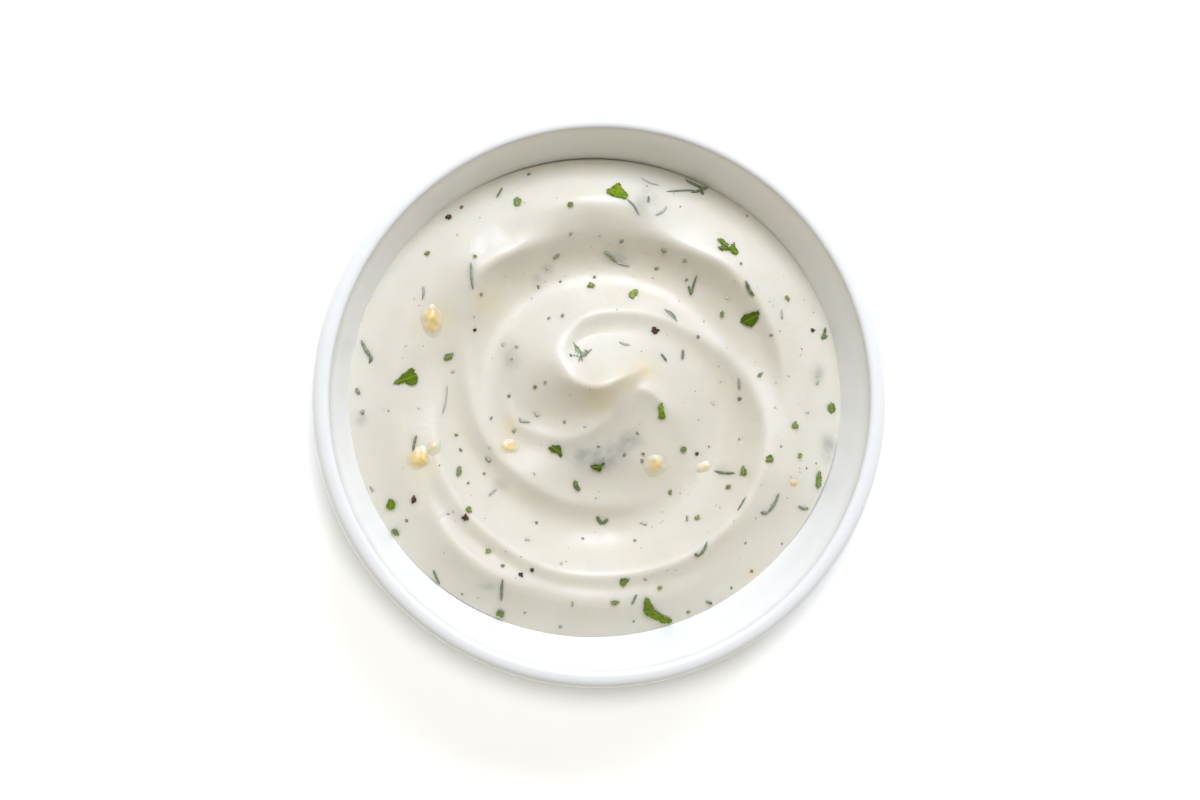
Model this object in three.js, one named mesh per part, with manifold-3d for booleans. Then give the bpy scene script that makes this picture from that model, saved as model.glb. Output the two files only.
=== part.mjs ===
// A small white porcelain bowl filled with ranch dressing. Millimetres, +Z up.
// The origin is on the table, under the middle of the bowl. The dressing's top is a spoon swirl with
// herb flakes, garlic and pepper lying on it.

import * as THREE from 'three';
import { mergeVertices } from 'three/addons/utils/BufferGeometryUtils.js';
import Module from 'manifold-3d';

const wasm = await Module();
wasm.setup();

// ---- Driving dimensions: the bowl ------------------------------------------------------------

const RIM_RADIUS = 45;            // outside of the lip
const BOWL_HEIGHT = 40;
const LIP_WIDTH = 2.7;
const LIP_OUTER_ROUND = 1.7;      // how wide the lip's rounding is, outside and inside
const LIP_INNER_ROUND = LIP_WIDTH - LIP_OUTER_ROUND;
const WALL_TAPER = 0.39;          // how far the wall goes in for each millimetre down
const WALL_BEND_HEIGHT = 20;      // below this the wall bends into the floor of the bowl
const FLOOR_HEIGHT = 5.5;
const FLOOR_FLAT_RADIUS = 17;
const FOOT_OUTER_RADIUS = 24.6;
const FOOT_INNER_RADIUS = 20.4;
const FOOT_HEIGHT = 3.2;
const FOOT_ROUND = 0.6;
const FOOT_FLARE = 1.4;           // how far the wall starts outside the foot
const FOOT_RECESS = 1.8;          // how far the underside stands clear of the table
const BOWL_SIDES = 64;
const ARC_STEPS = 5;

// ---- Driving dimensions: the dressing --------------------------------------------------------

const FILL_DEPTH = 9.5;           // from the lip down to the dressing's edge at the sides
const FILL_HEIGHT = BOWL_HEIGHT - FILL_DEPTH;
const BOWL_GAP = 0.3;             // clearance between the dressing and the bowl
const SURFACE_LEVEL = FILL_HEIGHT + 1.6; // the swirl's own level, which the edge dips from
const SURFACE_RINGS = 31;
const SIDE_POINTS = 64;
const SIDE_MARGIN = 0.6;          // from the edge's lowest point down to the first ring of the side

// The spoon's swirl. Each ridge falls away from its crest, at its own rate on the inner and the outer side.
// Each row is x, y, height, inner width, outer width and roundness of the crest.
const RIDGES = [
  [
    // hooks round the peak, then makes a turn and a quarter outwards
    [7.4, 5.2, 0.6, 1.2, 1.4, 0.4],
    [3.4, 3.5, 2.1, 3, 1.8, 0.5],
    [-0.6, 2.1, 3, 3.6, 2.4, 0.6],
    [-4.4, 3.5, 2.7, 3.2, 3.6, 0.8],
    [-6, 7, 1.6, 2.6, 5, 1.2],
    [-4.8, 10.8, 1.4, 1.9, 5.6, 1],
    [-1, 13.7, 2, 1.6, 5.6, 1],
    [6, 14.2, 2.3, 1.8, 6, 0.9],
    [12, 12.6, 2.5, 2.2, 6.6, 0.9],
    [17.5, 9.4, 2.4, 2.8, 6, 1],
    [22.3, 5, 2.3, 4, 4, 1],
    [25.5, -0.4, 2.2, 4.4, 3.2, 1],
    [26.5, -6.2, 2.1, 4.4, 3, 1],
    [25, -12.8, 2.2, 4.6, 2.4, 1],
    [21, -19.2, 2.3, 4.6, 1.8, 1.1],
    [14, -24.6, 2.2, 4, 1.5, 1.1],
    [5, -27.2, 2, 3.4, 1.5, 1.1],
    [-5, -27, 1.9, 3.4, 1.5, 1.1],
    [-13, -23.8, 1.9, 3.2, 2.2, 1],
    [-20, -18.2, 1.9, 3, 2.4, 1],
    [-24, -12.2, 1.7, 2.8, 2.4, 1],
    [-25.3, -6, 1.2, 2.4, 2.6, 1.1],
    [-24.8, 0, 0.5, 2, 2.4, 1.2],
    [-24, 5, 0, 2, 2.2, 1.2],
  ],
  [
    // curls out from under the peak
    [3.4, 1.2, 0, 1.4, 1.2, 0.6],
    [1.6, -2.6, 0.7, 2.4, 1.3, 0.7],
    [-1.2, -4.8, 0.9, 2.8, 1.5, 0.7],
    [-5, -6, 0.9, 3, 1.5, 0.7],
    [-9, -5.4, 0.8, 3, 1.6, 0.7],
    [-12.5, -3.6, 0.7, 2.2, 1.8, 0.8],
    [-14.4, -0.5, 0.5, 1.6, 2, 1],
    [-14.6, 3, 0, 1.4, 2, 1.2],
  ],
  [
    // rises along the left and crosses the far side
    [11.5, -14.8, 0, 2.5, 1.4, 0.8],
    [7, -16.3, 0.4, 2.5, 1.6, 0.9],
    [1, -16.8, 0.7, 2.6, 1.6, 0.9],
    [-5, -15.8, 0.9, 3, 1.6, 0.9],
    [-11, -12.8, 1.2, 2.8, 2, 0.8],
    [-15.6, -8.8, 1.2, 2.6, 1.6, 0.8],
    [-18.6, -3.5, 1.4, 2.6, 1.8, 0.9],
    [-20, 3, 1.4, 2.6, 2, 1.1],
    [-20.3, 10, 1.5, 2.8, 2.6, 1.4],
    [-19.9, 15, 2, 3, 3.6, 1.6],
    [-19, 19.4, 2.6, 3.2, 3, 1.4],
    [-16.2, 21.8, 2.6, 2.9, 2.5, 1],
    [-12.8, 23.4, 2.6, 2.9, 2.5, 0.9],
    [-9, 25, 2.3, 3, 3.6, 1.6],
    [-5, 26.4, 2, 3, 6, 2.2],
    [0, 27, 1.9, 3, 7, 2.4],
    [5, 26.8, 2, 3, 6, 2.2],
    [9, 25.8, 2.3, 3, 3.8, 1.6],
    [13, 24.2, 2.6, 2.9, 2.6, 1.1],
    [19.6, 21.4, 2.8, 3.2, 2.6, 1.2],
    [23, 18.3, 2.5, 3, 3.4, 1.1],
    [26, 14.5, 2.1, 2.8, 2.8, 0.9],
    [28.6, 8.5, 1.5, 2.4, 2, 0.8],
    [29.5, 2, 0.7, 2.2, 1.6, 0.8],
    [29.3, -4, 0, 2, 1.6, 0.8],
  ],
  [
    // lies outside the first one, at the near left
    [-28, -8, 0, 2.4, 3, 1],
    [-26.4, -15.2, 0.6, 2.4, 2.8, 1.2],
    [-23.2, -22, 1.7, 3, 2, 1.4],
    [-17.2, -27.2, 2, 3, 2, 1.7],
    [-8.8, -30.2, 1.1, 1.8, 2.6, 1.8],
    [0, -31.9, 1, 1.6, 2.8, 1.8],
    [8, -31.4, 0.9, 1.6, 3, 1.8],
    [16, -28.6, 0.5, 1.8, 3, 1.4],
    [23, -23.5, 0, 1.8, 3, 1],
  ],
  [
    // a small fold beside the peak
    [5.4, 0.8, 0, 1.2, 1, 0.5],
    [7.6, 1.5, 1.2, 1.8, 1.6, 0.5],
    [9.8, 0.2, 1.4, 2.2, 2, 0.6],
    [11.6, -2.4, 0.9, 2.2, 2.2, 0.8],
    [12.6, -6, 0, 2, 2, 0.8],
  ],
];
const CREST_STEPS = 6;            // stretches between two rows of a ridge
const RIDGE_BLEND = 3;            // how sharply one ridge takes over from another
// The round trough of the spoon, deeper towards one side (degrees from +X).
const TROUGH = { x: 0.3, y: -0.6, radius: 20.3, depth: 2.6, width: 6.2, lean: 0.38, leanTowards: 56 };
const SHOULDER = { radius: 32, height: 0.45, width: 3 }; // a low rise round the outside
// Soft rises and hollows: x, y, height, width along X and along Y.
const SWELLS = [
  [2.6, 2.8, 2.6, 6.4, 6.4],
  [-9, 7, 0.7, 5, 4],
  [-8.5, -4.5, -1.4, 5.5, 5.6],
  [1, -13.2, -0.9, 7, 3.6],
  [0, -20.5, -1.8, 9, 8],
  [0, 31.8, 1.5, 9, 4],
  [32, -13, 0.9, 8, 8],
];
const EDGE_DROP_SIDES = 1.6;      // how far the edge dips at the left and right sides of the bowl
const EDGE_DROP_ENDS = 4.6;       // and at the near and far sides
const EDGE_ROLL_START = 28;       // radius where the dressing starts to roll down to its edge
const EDGE_ROLL_POWER = 2.2;

// ---- Driving dimensions: the toppings --------------------------------------------------------

const FLAKE_RISE = 0.35;          // how far a flake stands above the dressing
const FLAKE_ROOT = 0.6;           // how deep it is set in
const PEPPER_LIFT = 0.1;          // how far a grain's middle lies above the dressing, for a size of 1

// Parsley: cut pieces of leaf, as outlines of [x, y].
const PARSLEY_LEAVES = [
  [[1.1, 32.6], [2.5, 32], [4.4, 31.5], [4.8, 32.2], [3.8, 33.3], [3.5, 34.2]],
  [[20.5, 23.9], [21.3, 23.1], [21.9, 22.8], [22.4, 23.3], [21.7, 24.9]],
  [[22.8, 12.6], [23.1, 11.9], [24.3, 11.5], [24.9, 11.5], [25.8, 14], [23.4, 13.4]],
  [[-32.1, 2.6], [-31, 2.4], [-30.2, 2.9], [-29.7, 2.4], [-28.3, 2.4], [-28.1, 3.4], [-29.1, 5.2]],
  [[7.5, -31.4], [7.6, -33.7], [8.1, -34.4], [11.7, -35.9], [12.5, -35.2], [9.3, -33.5], [8.2, -31.3]],
  [[-7.7, -7.6], [-7.1, -8.3], [-6.2, -8.3], [-5.8, -9.1], [-5.4, -9], [-5.6, -7.6], [-6, -7.2]],
  [[9.6, -1.1], [9.9, -1.9], [9.6, -2.8], [10.2, -3.2], [10.9, -2.8], [10.4, -1.7], [10.2, -0.4]],
  [[-1.1, -10.5], [-0.2, -11], [0.7, -11.5], [0.8, -10.9], [1.4, -10], [0.7, -10.3]],
  [[-33.2, -16.9], [-32.2, -17.4], [-31.6, -16.4], [-32.6, -15.4]],
];

// Small pieces of leaf: [x, y, length, width, angle in degrees].
const PARSLEY_BITS = [
  [-12.5, 31.1, 1.4, 1.3, 20], [6, 16.7, 1.9, 1.1, 32], [-23.3, 6.8, 1.6, 0.9, 25],
  [4.3, -28.7, 1.5, 1.2, 10], [-15, -34.1, 1.4, 1, -35], [27.3, -9.4, 1.3, 1.1, -30],
  [31.4, -4.1, 1.2, 1, 80], [-20.2, -17.2, 1.1, 0.9, -60], [-0.6, 18, 1.3, 0.8, -5],
  [23.2, -11.3, 1.6, 0.7, 85], [14, -7.9, 1.1, 0.8, 0], [35.4, -12.7, 3, 0.85, 86],
  [-4.3, 30.6, 1, 0.8, 0], [2.9, -32, 1.5, 0.6, 0],
];

// Dill: threads from one end to the other, [x, y, x, y, width].
const DILL_THREADS = [
  [-15, -28.1, -15, -31.9, 0.4], [-3.9, 9.1, -2.6, 5.8, 0.6], [14.7, 17.9, 15.2, 16.4, 0.5],
  [15.2, 16.4, 15.9, 19.5, 0.4], [23.3, 18.7, 24.7, 16.2, 0.5], [25.9, -17.9, 27.1, -18, 0.5],
  [27.1, -18, 28.8, -14.8, 0.4], [15.3, -24.3, 16.1, -24.7, 0.5], [16.1, -24.7, 17.3, -22.4, 0.4],
  [-3.3, -12.8, -2.5, -14.4, 0.6], [0.3, -18.5, 1.2, -19.8, 0.5], [1.2, -19.8, 2.1, -19, 0.5],
  [-28.4, -5.6, -29, -8.2, 0.4], [-36.6, 8.6, -35.6, 6.4, 0.5], [18.9, -11.4, 22, -11.7, 0.4],
];

// Garlic: soft lumps half sunk in the dressing, [x, y, length, width, angle, how far it stands out].
const GARLIC = [
  [-25.6, 12.5, 4.3, 2.5, 95, 0.7], [-27.7, -9.6, 3, 2.7, 30, 0.65], [-13.9, -7.3, 2.3, 1.9, 0, 0.4],
  [9.4, -10.4, 3, 2.6, 40, 0.45],
];

// Cracked pepper: [x, y, size].
const PEPPER = [[9.3, 10.8, 1], [-20.6, -18.6, 1], [-28.8, -15.7, 1], [-23.2, 28.6, 0.9]];

// ---- The bowl --------------------------------------------------------------------------------

/** Radius of the wall's inside at height z, on its straight stretch. */
function innerWallRadius(z) {
  return RIM_RADIUS - LIP_WIDTH - WALL_TAPER * (BOWL_HEIGHT - LIP_INNER_ROUND - z);
}

function outerWallRadius(z) {
  return RIM_RADIUS - WALL_TAPER * (BOWL_HEIGHT - LIP_OUTER_ROUND - z);
}

/** The bowl's inside from the lip down to the axis, as [radius, z], moved in and up by a gap. */
function insideCurve(topHeight, gap) {
  const cornerZ = FLOOR_HEIGHT + gap;
  const path = new THREE.Path();
  path.moveTo(innerWallRadius(topHeight) - gap, topHeight);
  path.lineTo(innerWallRadius(WALL_BEND_HEIGHT) - gap, WALL_BEND_HEIGHT);
  path.quadraticCurveTo(innerWallRadius(cornerZ) - gap, cornerZ, FLOOR_FLAT_RADIUS, cornerZ);
  path.lineTo(0, cornerZ);
  return path;
}

/** The closed outline that is turned round the axis: underside, foot, outer wall, lip, inside. */
function bowlProfile() {
  const footTop = FOOT_OUTER_RADIUS + FOOT_FLARE;
  const lipTop = RIM_RADIUS - LIP_OUTER_ROUND;
  const outline = new THREE.Path();
  outline.moveTo(0, FOOT_RECESS);
  outline.lineTo(FOOT_INNER_RADIUS - FOOT_ROUND, FOOT_RECESS);
  outline.lineTo(FOOT_INNER_RADIUS, 0);
  outline.lineTo(FOOT_OUTER_RADIUS - FOOT_ROUND, 0);
  outline.quadraticCurveTo(FOOT_OUTER_RADIUS, 0, FOOT_OUTER_RADIUS, FOOT_ROUND);
  outline.quadraticCurveTo(FOOT_OUTER_RADIUS, FOOT_HEIGHT, footTop, FOOT_HEIGHT);
  const bendRadius = outerWallRadius(WALL_BEND_HEIGHT);
  outline.quadraticCurveTo(outerWallRadius(FOOT_HEIGHT), FOOT_HEIGHT, bendRadius, WALL_BEND_HEIGHT);
  outline.lineTo(RIM_RADIUS, BOWL_HEIGHT - LIP_OUTER_ROUND);
  outline.quadraticCurveTo(RIM_RADIUS, BOWL_HEIGHT, lipTop, BOWL_HEIGHT);
  const innerEdge = lipTop - LIP_INNER_ROUND;
  outline.quadraticCurveTo(innerEdge, BOWL_HEIGHT, innerEdge, BOWL_HEIGHT - LIP_INNER_ROUND);
  const inside = insideCurve(BOWL_HEIGHT - LIP_INNER_ROUND, 0).getPoints(ARC_STEPS);
  return [...outline.getPoints(ARC_STEPS), ...inside.slice(1)];
}

function makeBowl() {
  const geometry = new THREE.LatheGeometry(bowlProfile(), BOWL_SIDES);
  return geometry.rotateX(Math.PI / 2);
}

// ---- The swirl on the dressing ---------------------------------------------------------------

/** The Catmull-Rom value at share t of the way from b to c. */
function catmullRom(a, b, c, d, t) {
  return b + 0.5 * t * (c - a + t * (2 * a - 5 * b + 4 * c - d + t * (3 * (b - c) + d - a)));
}

/** A smooth line through a ridge's rows: each of a row's values runs smoothly on to the next row's. */
function smoothLine(rows) {
  const before = rows[0].map((value, i) => 2 * value - rows[1][i]);
  const after = rows.at(-1).map((value, i) => 2 * value - rows.at(-2)[i]);
  const all = [before, ...rows, after];
  const line = [];
  for (let k = 0; k + 3 < all.length; k++) {
    for (let step = 0; step < CREST_STEPS; step++) {
      const t = step / CREST_STEPS;
      line.push(all[k].map((a, i) => catmullRom(a, all[k + 1][i], all[k + 2][i], all[k + 3][i], t)));
    }
  }
  line.push(rows.at(-1));
  return line;
}

const RIDGE_LINES = RIDGES.map(smoothLine);

function bell(distance, width) {
  return Math.exp(-((distance / width) ** 2));
}

/** How high one ridge stands at (x, y). */
function ridgeHeight(x, y, line) {
  let highest = 0;
  for (let k = 0; k + 1 < line.length; k++) {
    const a = line[k];
    const b = line[k + 1];
    const ux = b[0] - a[0];
    const uy = b[1] - a[1];
    const length = Math.hypot(ux, uy);
    const t = THREE.MathUtils.clamp(((x - a[0]) * ux + (y - a[1]) * uy) / length ** 2, 0, 1);
    const [height, inner, outer, roundness] = a.slice(2).map((value, i) => value + (b[i + 2] - value) * t);
    const dx = x - a[0] - t * ux;
    const dy = y - a[1] - t * uy;
    const distance = Math.hypot(dx, dy, roundness);
    const outwards = 0.5 + (0.5 * (ux * dy - uy * dx)) / length / distance;
    const width = THREE.MathUtils.lerp(inner, outer, outwards);
    highest = Math.max(highest, height * Math.exp((roundness - distance) / width));
  }
  return highest;
}

function swellHeight(x, y, [swellX, swellY, height, width, depth]) {
  return height * bell(x - swellX, width) * bell(y - swellY, depth);
}

/** How far the dressing's edge dips, for a direction from the axis. */
function edgeDrop(turn) {
  return THREE.MathUtils.lerp(EDGE_DROP_SIDES, EDGE_DROP_ENDS, Math.sin(turn) ** 2);
}

function dressingEdgeRadius(turn) {
  return innerWallRadius(SURFACE_LEVEL - edgeDrop(turn)) - BOWL_GAP;
}

/** Height of the dressing's top above the table. */
function surfaceHeight(x, y) {
  const radius = Math.hypot(x, y);
  const turn = Math.atan2(y, x);
  const blended = RIDGE_LINES.reduce((sum, line) => sum + ridgeHeight(x, y, line) ** RIDGE_BLEND, 0);
  const ridges = blended ** (1 / RIDGE_BLEND);
  const lean = 1 + TROUGH.lean * Math.cos(turn - THREE.MathUtils.degToRad(TROUGH.leanTowards));
  const fromTrough = Math.hypot(x - TROUGH.x, y - TROUGH.y) - TROUGH.radius;
  const trough = TROUGH.depth * bell(fromTrough, TROUGH.width) * lean;
  const shoulder = SHOULDER.height * bell(radius - SHOULDER.radius, SHOULDER.width);
  const swells = SWELLS.reduce((sum, swell) => sum + swellHeight(x, y, swell), 0);
  const outOfRoll = (radius - EDGE_ROLL_START) / (dressingEdgeRadius(turn) - EDGE_ROLL_START);
  const roll = Math.max(outOfRoll, 0) ** EDGE_ROLL_POWER;
  return SURFACE_LEVEL + ridges + swells - trough + shoulder - edgeDrop(turn) * roll;
}

// ---- Solids made of rings --------------------------------------------------------------------

/** A ring of points round the axis; radiusAt gives a point's radius for its turn, heightAt its z. */
function ringOfPoints(count, radiusAt, heightAt) {
  return Array.from({ length: count }, (_, i) => {
    const turn = (2 * Math.PI * i) / count;
    const x = radiusAt(turn) * Math.cos(turn);
    const y = radiusAt(turn) * Math.sin(turn);
    return [x, y, heightAt(x, y)];
  });
}

/** Triangles between two rings that may have different numbers of points; a one-point ring is a tip. */
function stitchRings(a, b, triangles) {
  let i = 0;
  let j = 0;
  while (i < a.count || j < b.count) {
    const stepA = a.count > 1 && (j >= b.count || (i + 1) / a.count <= (j + 1) / b.count);
    if (stepA && i < a.count) {
      triangles.push(a.start + (i % a.count), b.start + (j % b.count), a.start + ((i + 1) % a.count));
      i++;
    } else if (b.count > 1 && j < b.count) {
      triangles.push(a.start + (i % a.count), b.start + (j % b.count), b.start + ((j + 1) % b.count));
      j++;
    } else {
      break;
    }
  }
}

/** A closed solid through rings listed from the top tip, over the edge, to the bottom tip. */
function solidFromRings(rings) {
  const positions = [];
  const triangles = [];
  const spans = rings.map((ring) => {
    const start = positions.length / 3;
    ring.forEach((point) => positions.push(...point));
    return { start, count: ring.length };
  });
  for (let k = 0; k + 1 < spans.length; k++) {
    stitchRings(spans[k], spans[k + 1], triangles);
  }
  const geometry = new THREE.BufferGeometry();
  geometry.setAttribute('position', new THREE.Float32BufferAttribute(positions, 3));
  geometry.setIndex(triangles);
  return geometry;
}

function makeDressingCore() {
  const rings = [[[0, 0, surfaceHeight(0, 0)]]];
  for (let k = 1; k <= SURFACE_RINGS; k++) {
    const share = k / SURFACE_RINGS;
    rings.push(ringOfPoints(6 * k, (turn) => share * dressingEdgeRadius(turn), surfaceHeight));
  }
  const sideTop = SURFACE_LEVEL - EDGE_DROP_ENDS - SIDE_MARGIN;
  const side = insideCurve(sideTop, BOWL_GAP).getPoints(ARC_STEPS);
  side.forEach((p) => {
    rings.push(p.x > 0 ? ringOfPoints(SIDE_POINTS, () => p.x, () => p.y) : [[0, 0, p.y]]);
  });
  return solidFromRings(rings);
}

// ---- Toppings --------------------------------------------------------------------------------

/** A thin flake of the given outline, laid over the swirl. */
function makeFlake(outline) {
  const shape = new THREE.Shape(outline.map(([x, y]) => new THREE.Vector2(x, y)));
  const geometry = new THREE.ExtrudeGeometry(shape, { depth: 1, bevelEnabled: false });
  const position = geometry.attributes.position;
  for (let i = 0; i < position.count; i++) {
    const lift = THREE.MathUtils.lerp(-FLAKE_ROOT, FLAKE_RISE, position.getZ(i));
    position.setZ(i, surfaceHeight(position.getX(i), position.getY(i)) + lift);
  }
  return geometry;
}

/** Points given along and across an axis at (x, y), turned by an angle in degrees. */
function placeOutline(points, x, y, angle) {
  const turn = THREE.MathUtils.degToRad(angle);
  return points.map(([u, v]) => [
    x + u * Math.cos(turn) - v * Math.sin(turn),
    y + u * Math.sin(turn) + v * Math.cos(turn),
  ]);
}

/** A small torn piece of leaf: rounded at one end and pointed at the other. */
function leafBitOutline([x, y, length, width, angle]) {
  const half = length / 2;
  const points = [
    [-half, -0.1 * width], [-0.6 * half, -0.5 * width], [0.3 * half, -0.45 * width],
    [half, 0.1 * width], [0.1 * half, 0.5 * width], [-0.7 * half, 0.4 * width],
  ];
  return placeOutline(points, x, y, angle);
}

function threadOutline([x0, y0, x1, y1, width]) {
  const length = Math.hypot(x1 - x0, y1 - y0);
  const angle = THREE.MathUtils.radToDeg(Math.atan2(y1 - y0, x1 - x0));
  const half = width / 2;
  const points = [[0, -half], [length, -half], [length, half], [0, half]];
  return placeOutline(points, x0, y0, angle);
}

function makeGarlic([x, y, length, width, angle, rise]) {
  const depth = width / 2;
  return new THREE.IcosahedronGeometry(1, 1)
    .scale(length / 2, width / 2, depth)
    .rotateZ(THREE.MathUtils.degToRad(angle))
    .translate(x, y, surfaceHeight(x, y) + rise - depth);
}

function makePepper([x, y, size]) {
  return new THREE.IcosahedronGeometry(size / 2, 0)
    .rotateZ(x)
    .translate(x, y, surfaceHeight(x, y) + PEPPER_LIFT * size);
}

// ---- Joining ---------------------------------------------------------------------------------

const MERGE_DISTANCE = 1e-4;

function toSolid(geometry) {
  const bare = geometry.clone();
  bare.deleteAttribute('normal');
  bare.deleteAttribute('uv');
  const merged = mergeVertices(bare, MERGE_DISTANCE);
  return new wasm.Manifold(new wasm.Mesh({
    numProp: 3,
    vertProperties: new Float32Array(merged.attributes.position.array),
    triVerts: new Uint32Array(merged.index.array),
  }));
}

function toGeometry(solid) {
  const mesh = solid.getMesh();
  const geometry = new THREE.BufferGeometry();
  geometry.setAttribute('position', new THREE.BufferAttribute(mesh.vertProperties, 3));
  geometry.setIndex(new THREE.BufferAttribute(mesh.triVerts, 1));
  geometry.computeVertexNormals();
  return geometry;
}

function makeDressing() {
  const toppings = [
    ...PARSLEY_LEAVES.map(makeFlake),
    ...PARSLEY_BITS.map(leafBitOutline).map(makeFlake),
    ...DILL_THREADS.map(threadOutline).map(makeFlake),
    ...GARLIC.map(makeGarlic),
    ...PEPPER.map(makePepper),
  ];
  const core = toSolid(makeDressingCore());
  const joined = toppings.map(toSolid).reduce((solid, topping) => solid.add(topping), core);
  return toGeometry(joined);
}

// ---- The part --------------------------------------------------------------------------------

function named(name, geometry, material) {
  const mesh = new THREE.Mesh(geometry, material);
  mesh.name = name;
  return mesh;
}

const porcelain = new THREE.MeshStandardMaterial({ color: 0xf4f5f4, roughness: 0.15, metalness: 0 });
const cream = new THREE.MeshStandardMaterial({ color: 0xefeade, roughness: 0.35, metalness: 0 });

const bowlOfDressing = new THREE.Group();
bowlOfDressing.add(named('bowl', makeBowl(), porcelain));
bowlOfDressing.add(named('ranch_dressing', makeDressing(), cream));

export default bowlOfDressing;
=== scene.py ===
"""A small white porcelain bowl of ranch dressing, seen from above on a white table.

Shapes are worked out in millimetres and written to the meshes in metres.
"""

import math
import bmesh
import bpy
import numpy as np
from mathutils import Matrix, Vector, noise
from mathutils.geometry import delaunay_2d_cdt


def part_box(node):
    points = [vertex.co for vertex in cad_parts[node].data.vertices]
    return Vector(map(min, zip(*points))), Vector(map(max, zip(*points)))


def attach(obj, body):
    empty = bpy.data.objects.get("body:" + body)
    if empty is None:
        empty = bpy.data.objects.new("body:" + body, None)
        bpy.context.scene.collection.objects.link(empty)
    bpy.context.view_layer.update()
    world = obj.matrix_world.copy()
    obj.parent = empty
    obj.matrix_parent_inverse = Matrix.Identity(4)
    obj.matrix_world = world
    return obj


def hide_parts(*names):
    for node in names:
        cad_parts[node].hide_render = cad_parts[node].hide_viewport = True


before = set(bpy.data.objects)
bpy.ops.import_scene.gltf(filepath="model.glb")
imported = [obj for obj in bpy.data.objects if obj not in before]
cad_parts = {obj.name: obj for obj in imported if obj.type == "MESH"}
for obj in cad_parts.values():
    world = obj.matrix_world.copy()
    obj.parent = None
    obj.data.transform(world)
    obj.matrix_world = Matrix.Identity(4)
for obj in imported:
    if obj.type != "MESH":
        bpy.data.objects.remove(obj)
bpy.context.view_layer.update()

MM = 0.001

# ---- The bowl, from the frame and the same few sizes as its solid (mm)

BOWL_LOW, BOWL_HIGH = (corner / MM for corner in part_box("bowl"))
RIM_RADIUS = BOWL_HIGH.x
BOWL_HEIGHT = BOWL_HIGH.z
LIP_WIDTH = 2.7
LIP_OUTER_ROUND = 1.7
LIP_INNER_ROUND = LIP_WIDTH - LIP_OUTER_ROUND
WALL_TAPER = 0.39
WALL_BEND_HEIGHT = 20
FLOOR_HEIGHT = 5.5
FLOOR_FLAT_RADIUS = 17
FOOT_OUTER_RADIUS = 24.6
FOOT_INNER_RADIUS = 20.4
FOOT_HEIGHT = 3.2
FOOT_ROUND = 0.6
FOOT_RECESS = 1.8
FOOT_FLARE = 1.4
FOOT_INNER_SLANT = 0.3
FOOT_INNER_EDGE = 0.1
FOOT_INNER_ROUND = 0.4
BOWL_SIDES = 256

# Steps along the stretches of the outlines.
ARC_STEPS = 14
WALL_STEPS = 8
FLOOR_STEPS = 6
FOOT_ARC_STEPS = 6
FOOT_EDGE_STEPS = 4
FOOT_FLAT_STEPS = 3
FOOT_FLARE_STEPS = 10

# ---- The dressing (mm)

FILL_DEPTH = 9.5
FILL_HEIGHT = BOWL_HEIGHT - FILL_DEPTH
BOWL_GAP = 0.3
EDGE_INTO_WALL = 0.05
EDGE_SKIRT = 0.6
SURFACE_RINGS = 150
RING_GROWTH = 6
LOWER_SIDES = 225
SHARP_ANGLE = 50
SURFACE_LEVEL = FILL_HEIGHT + 1.6

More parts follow.
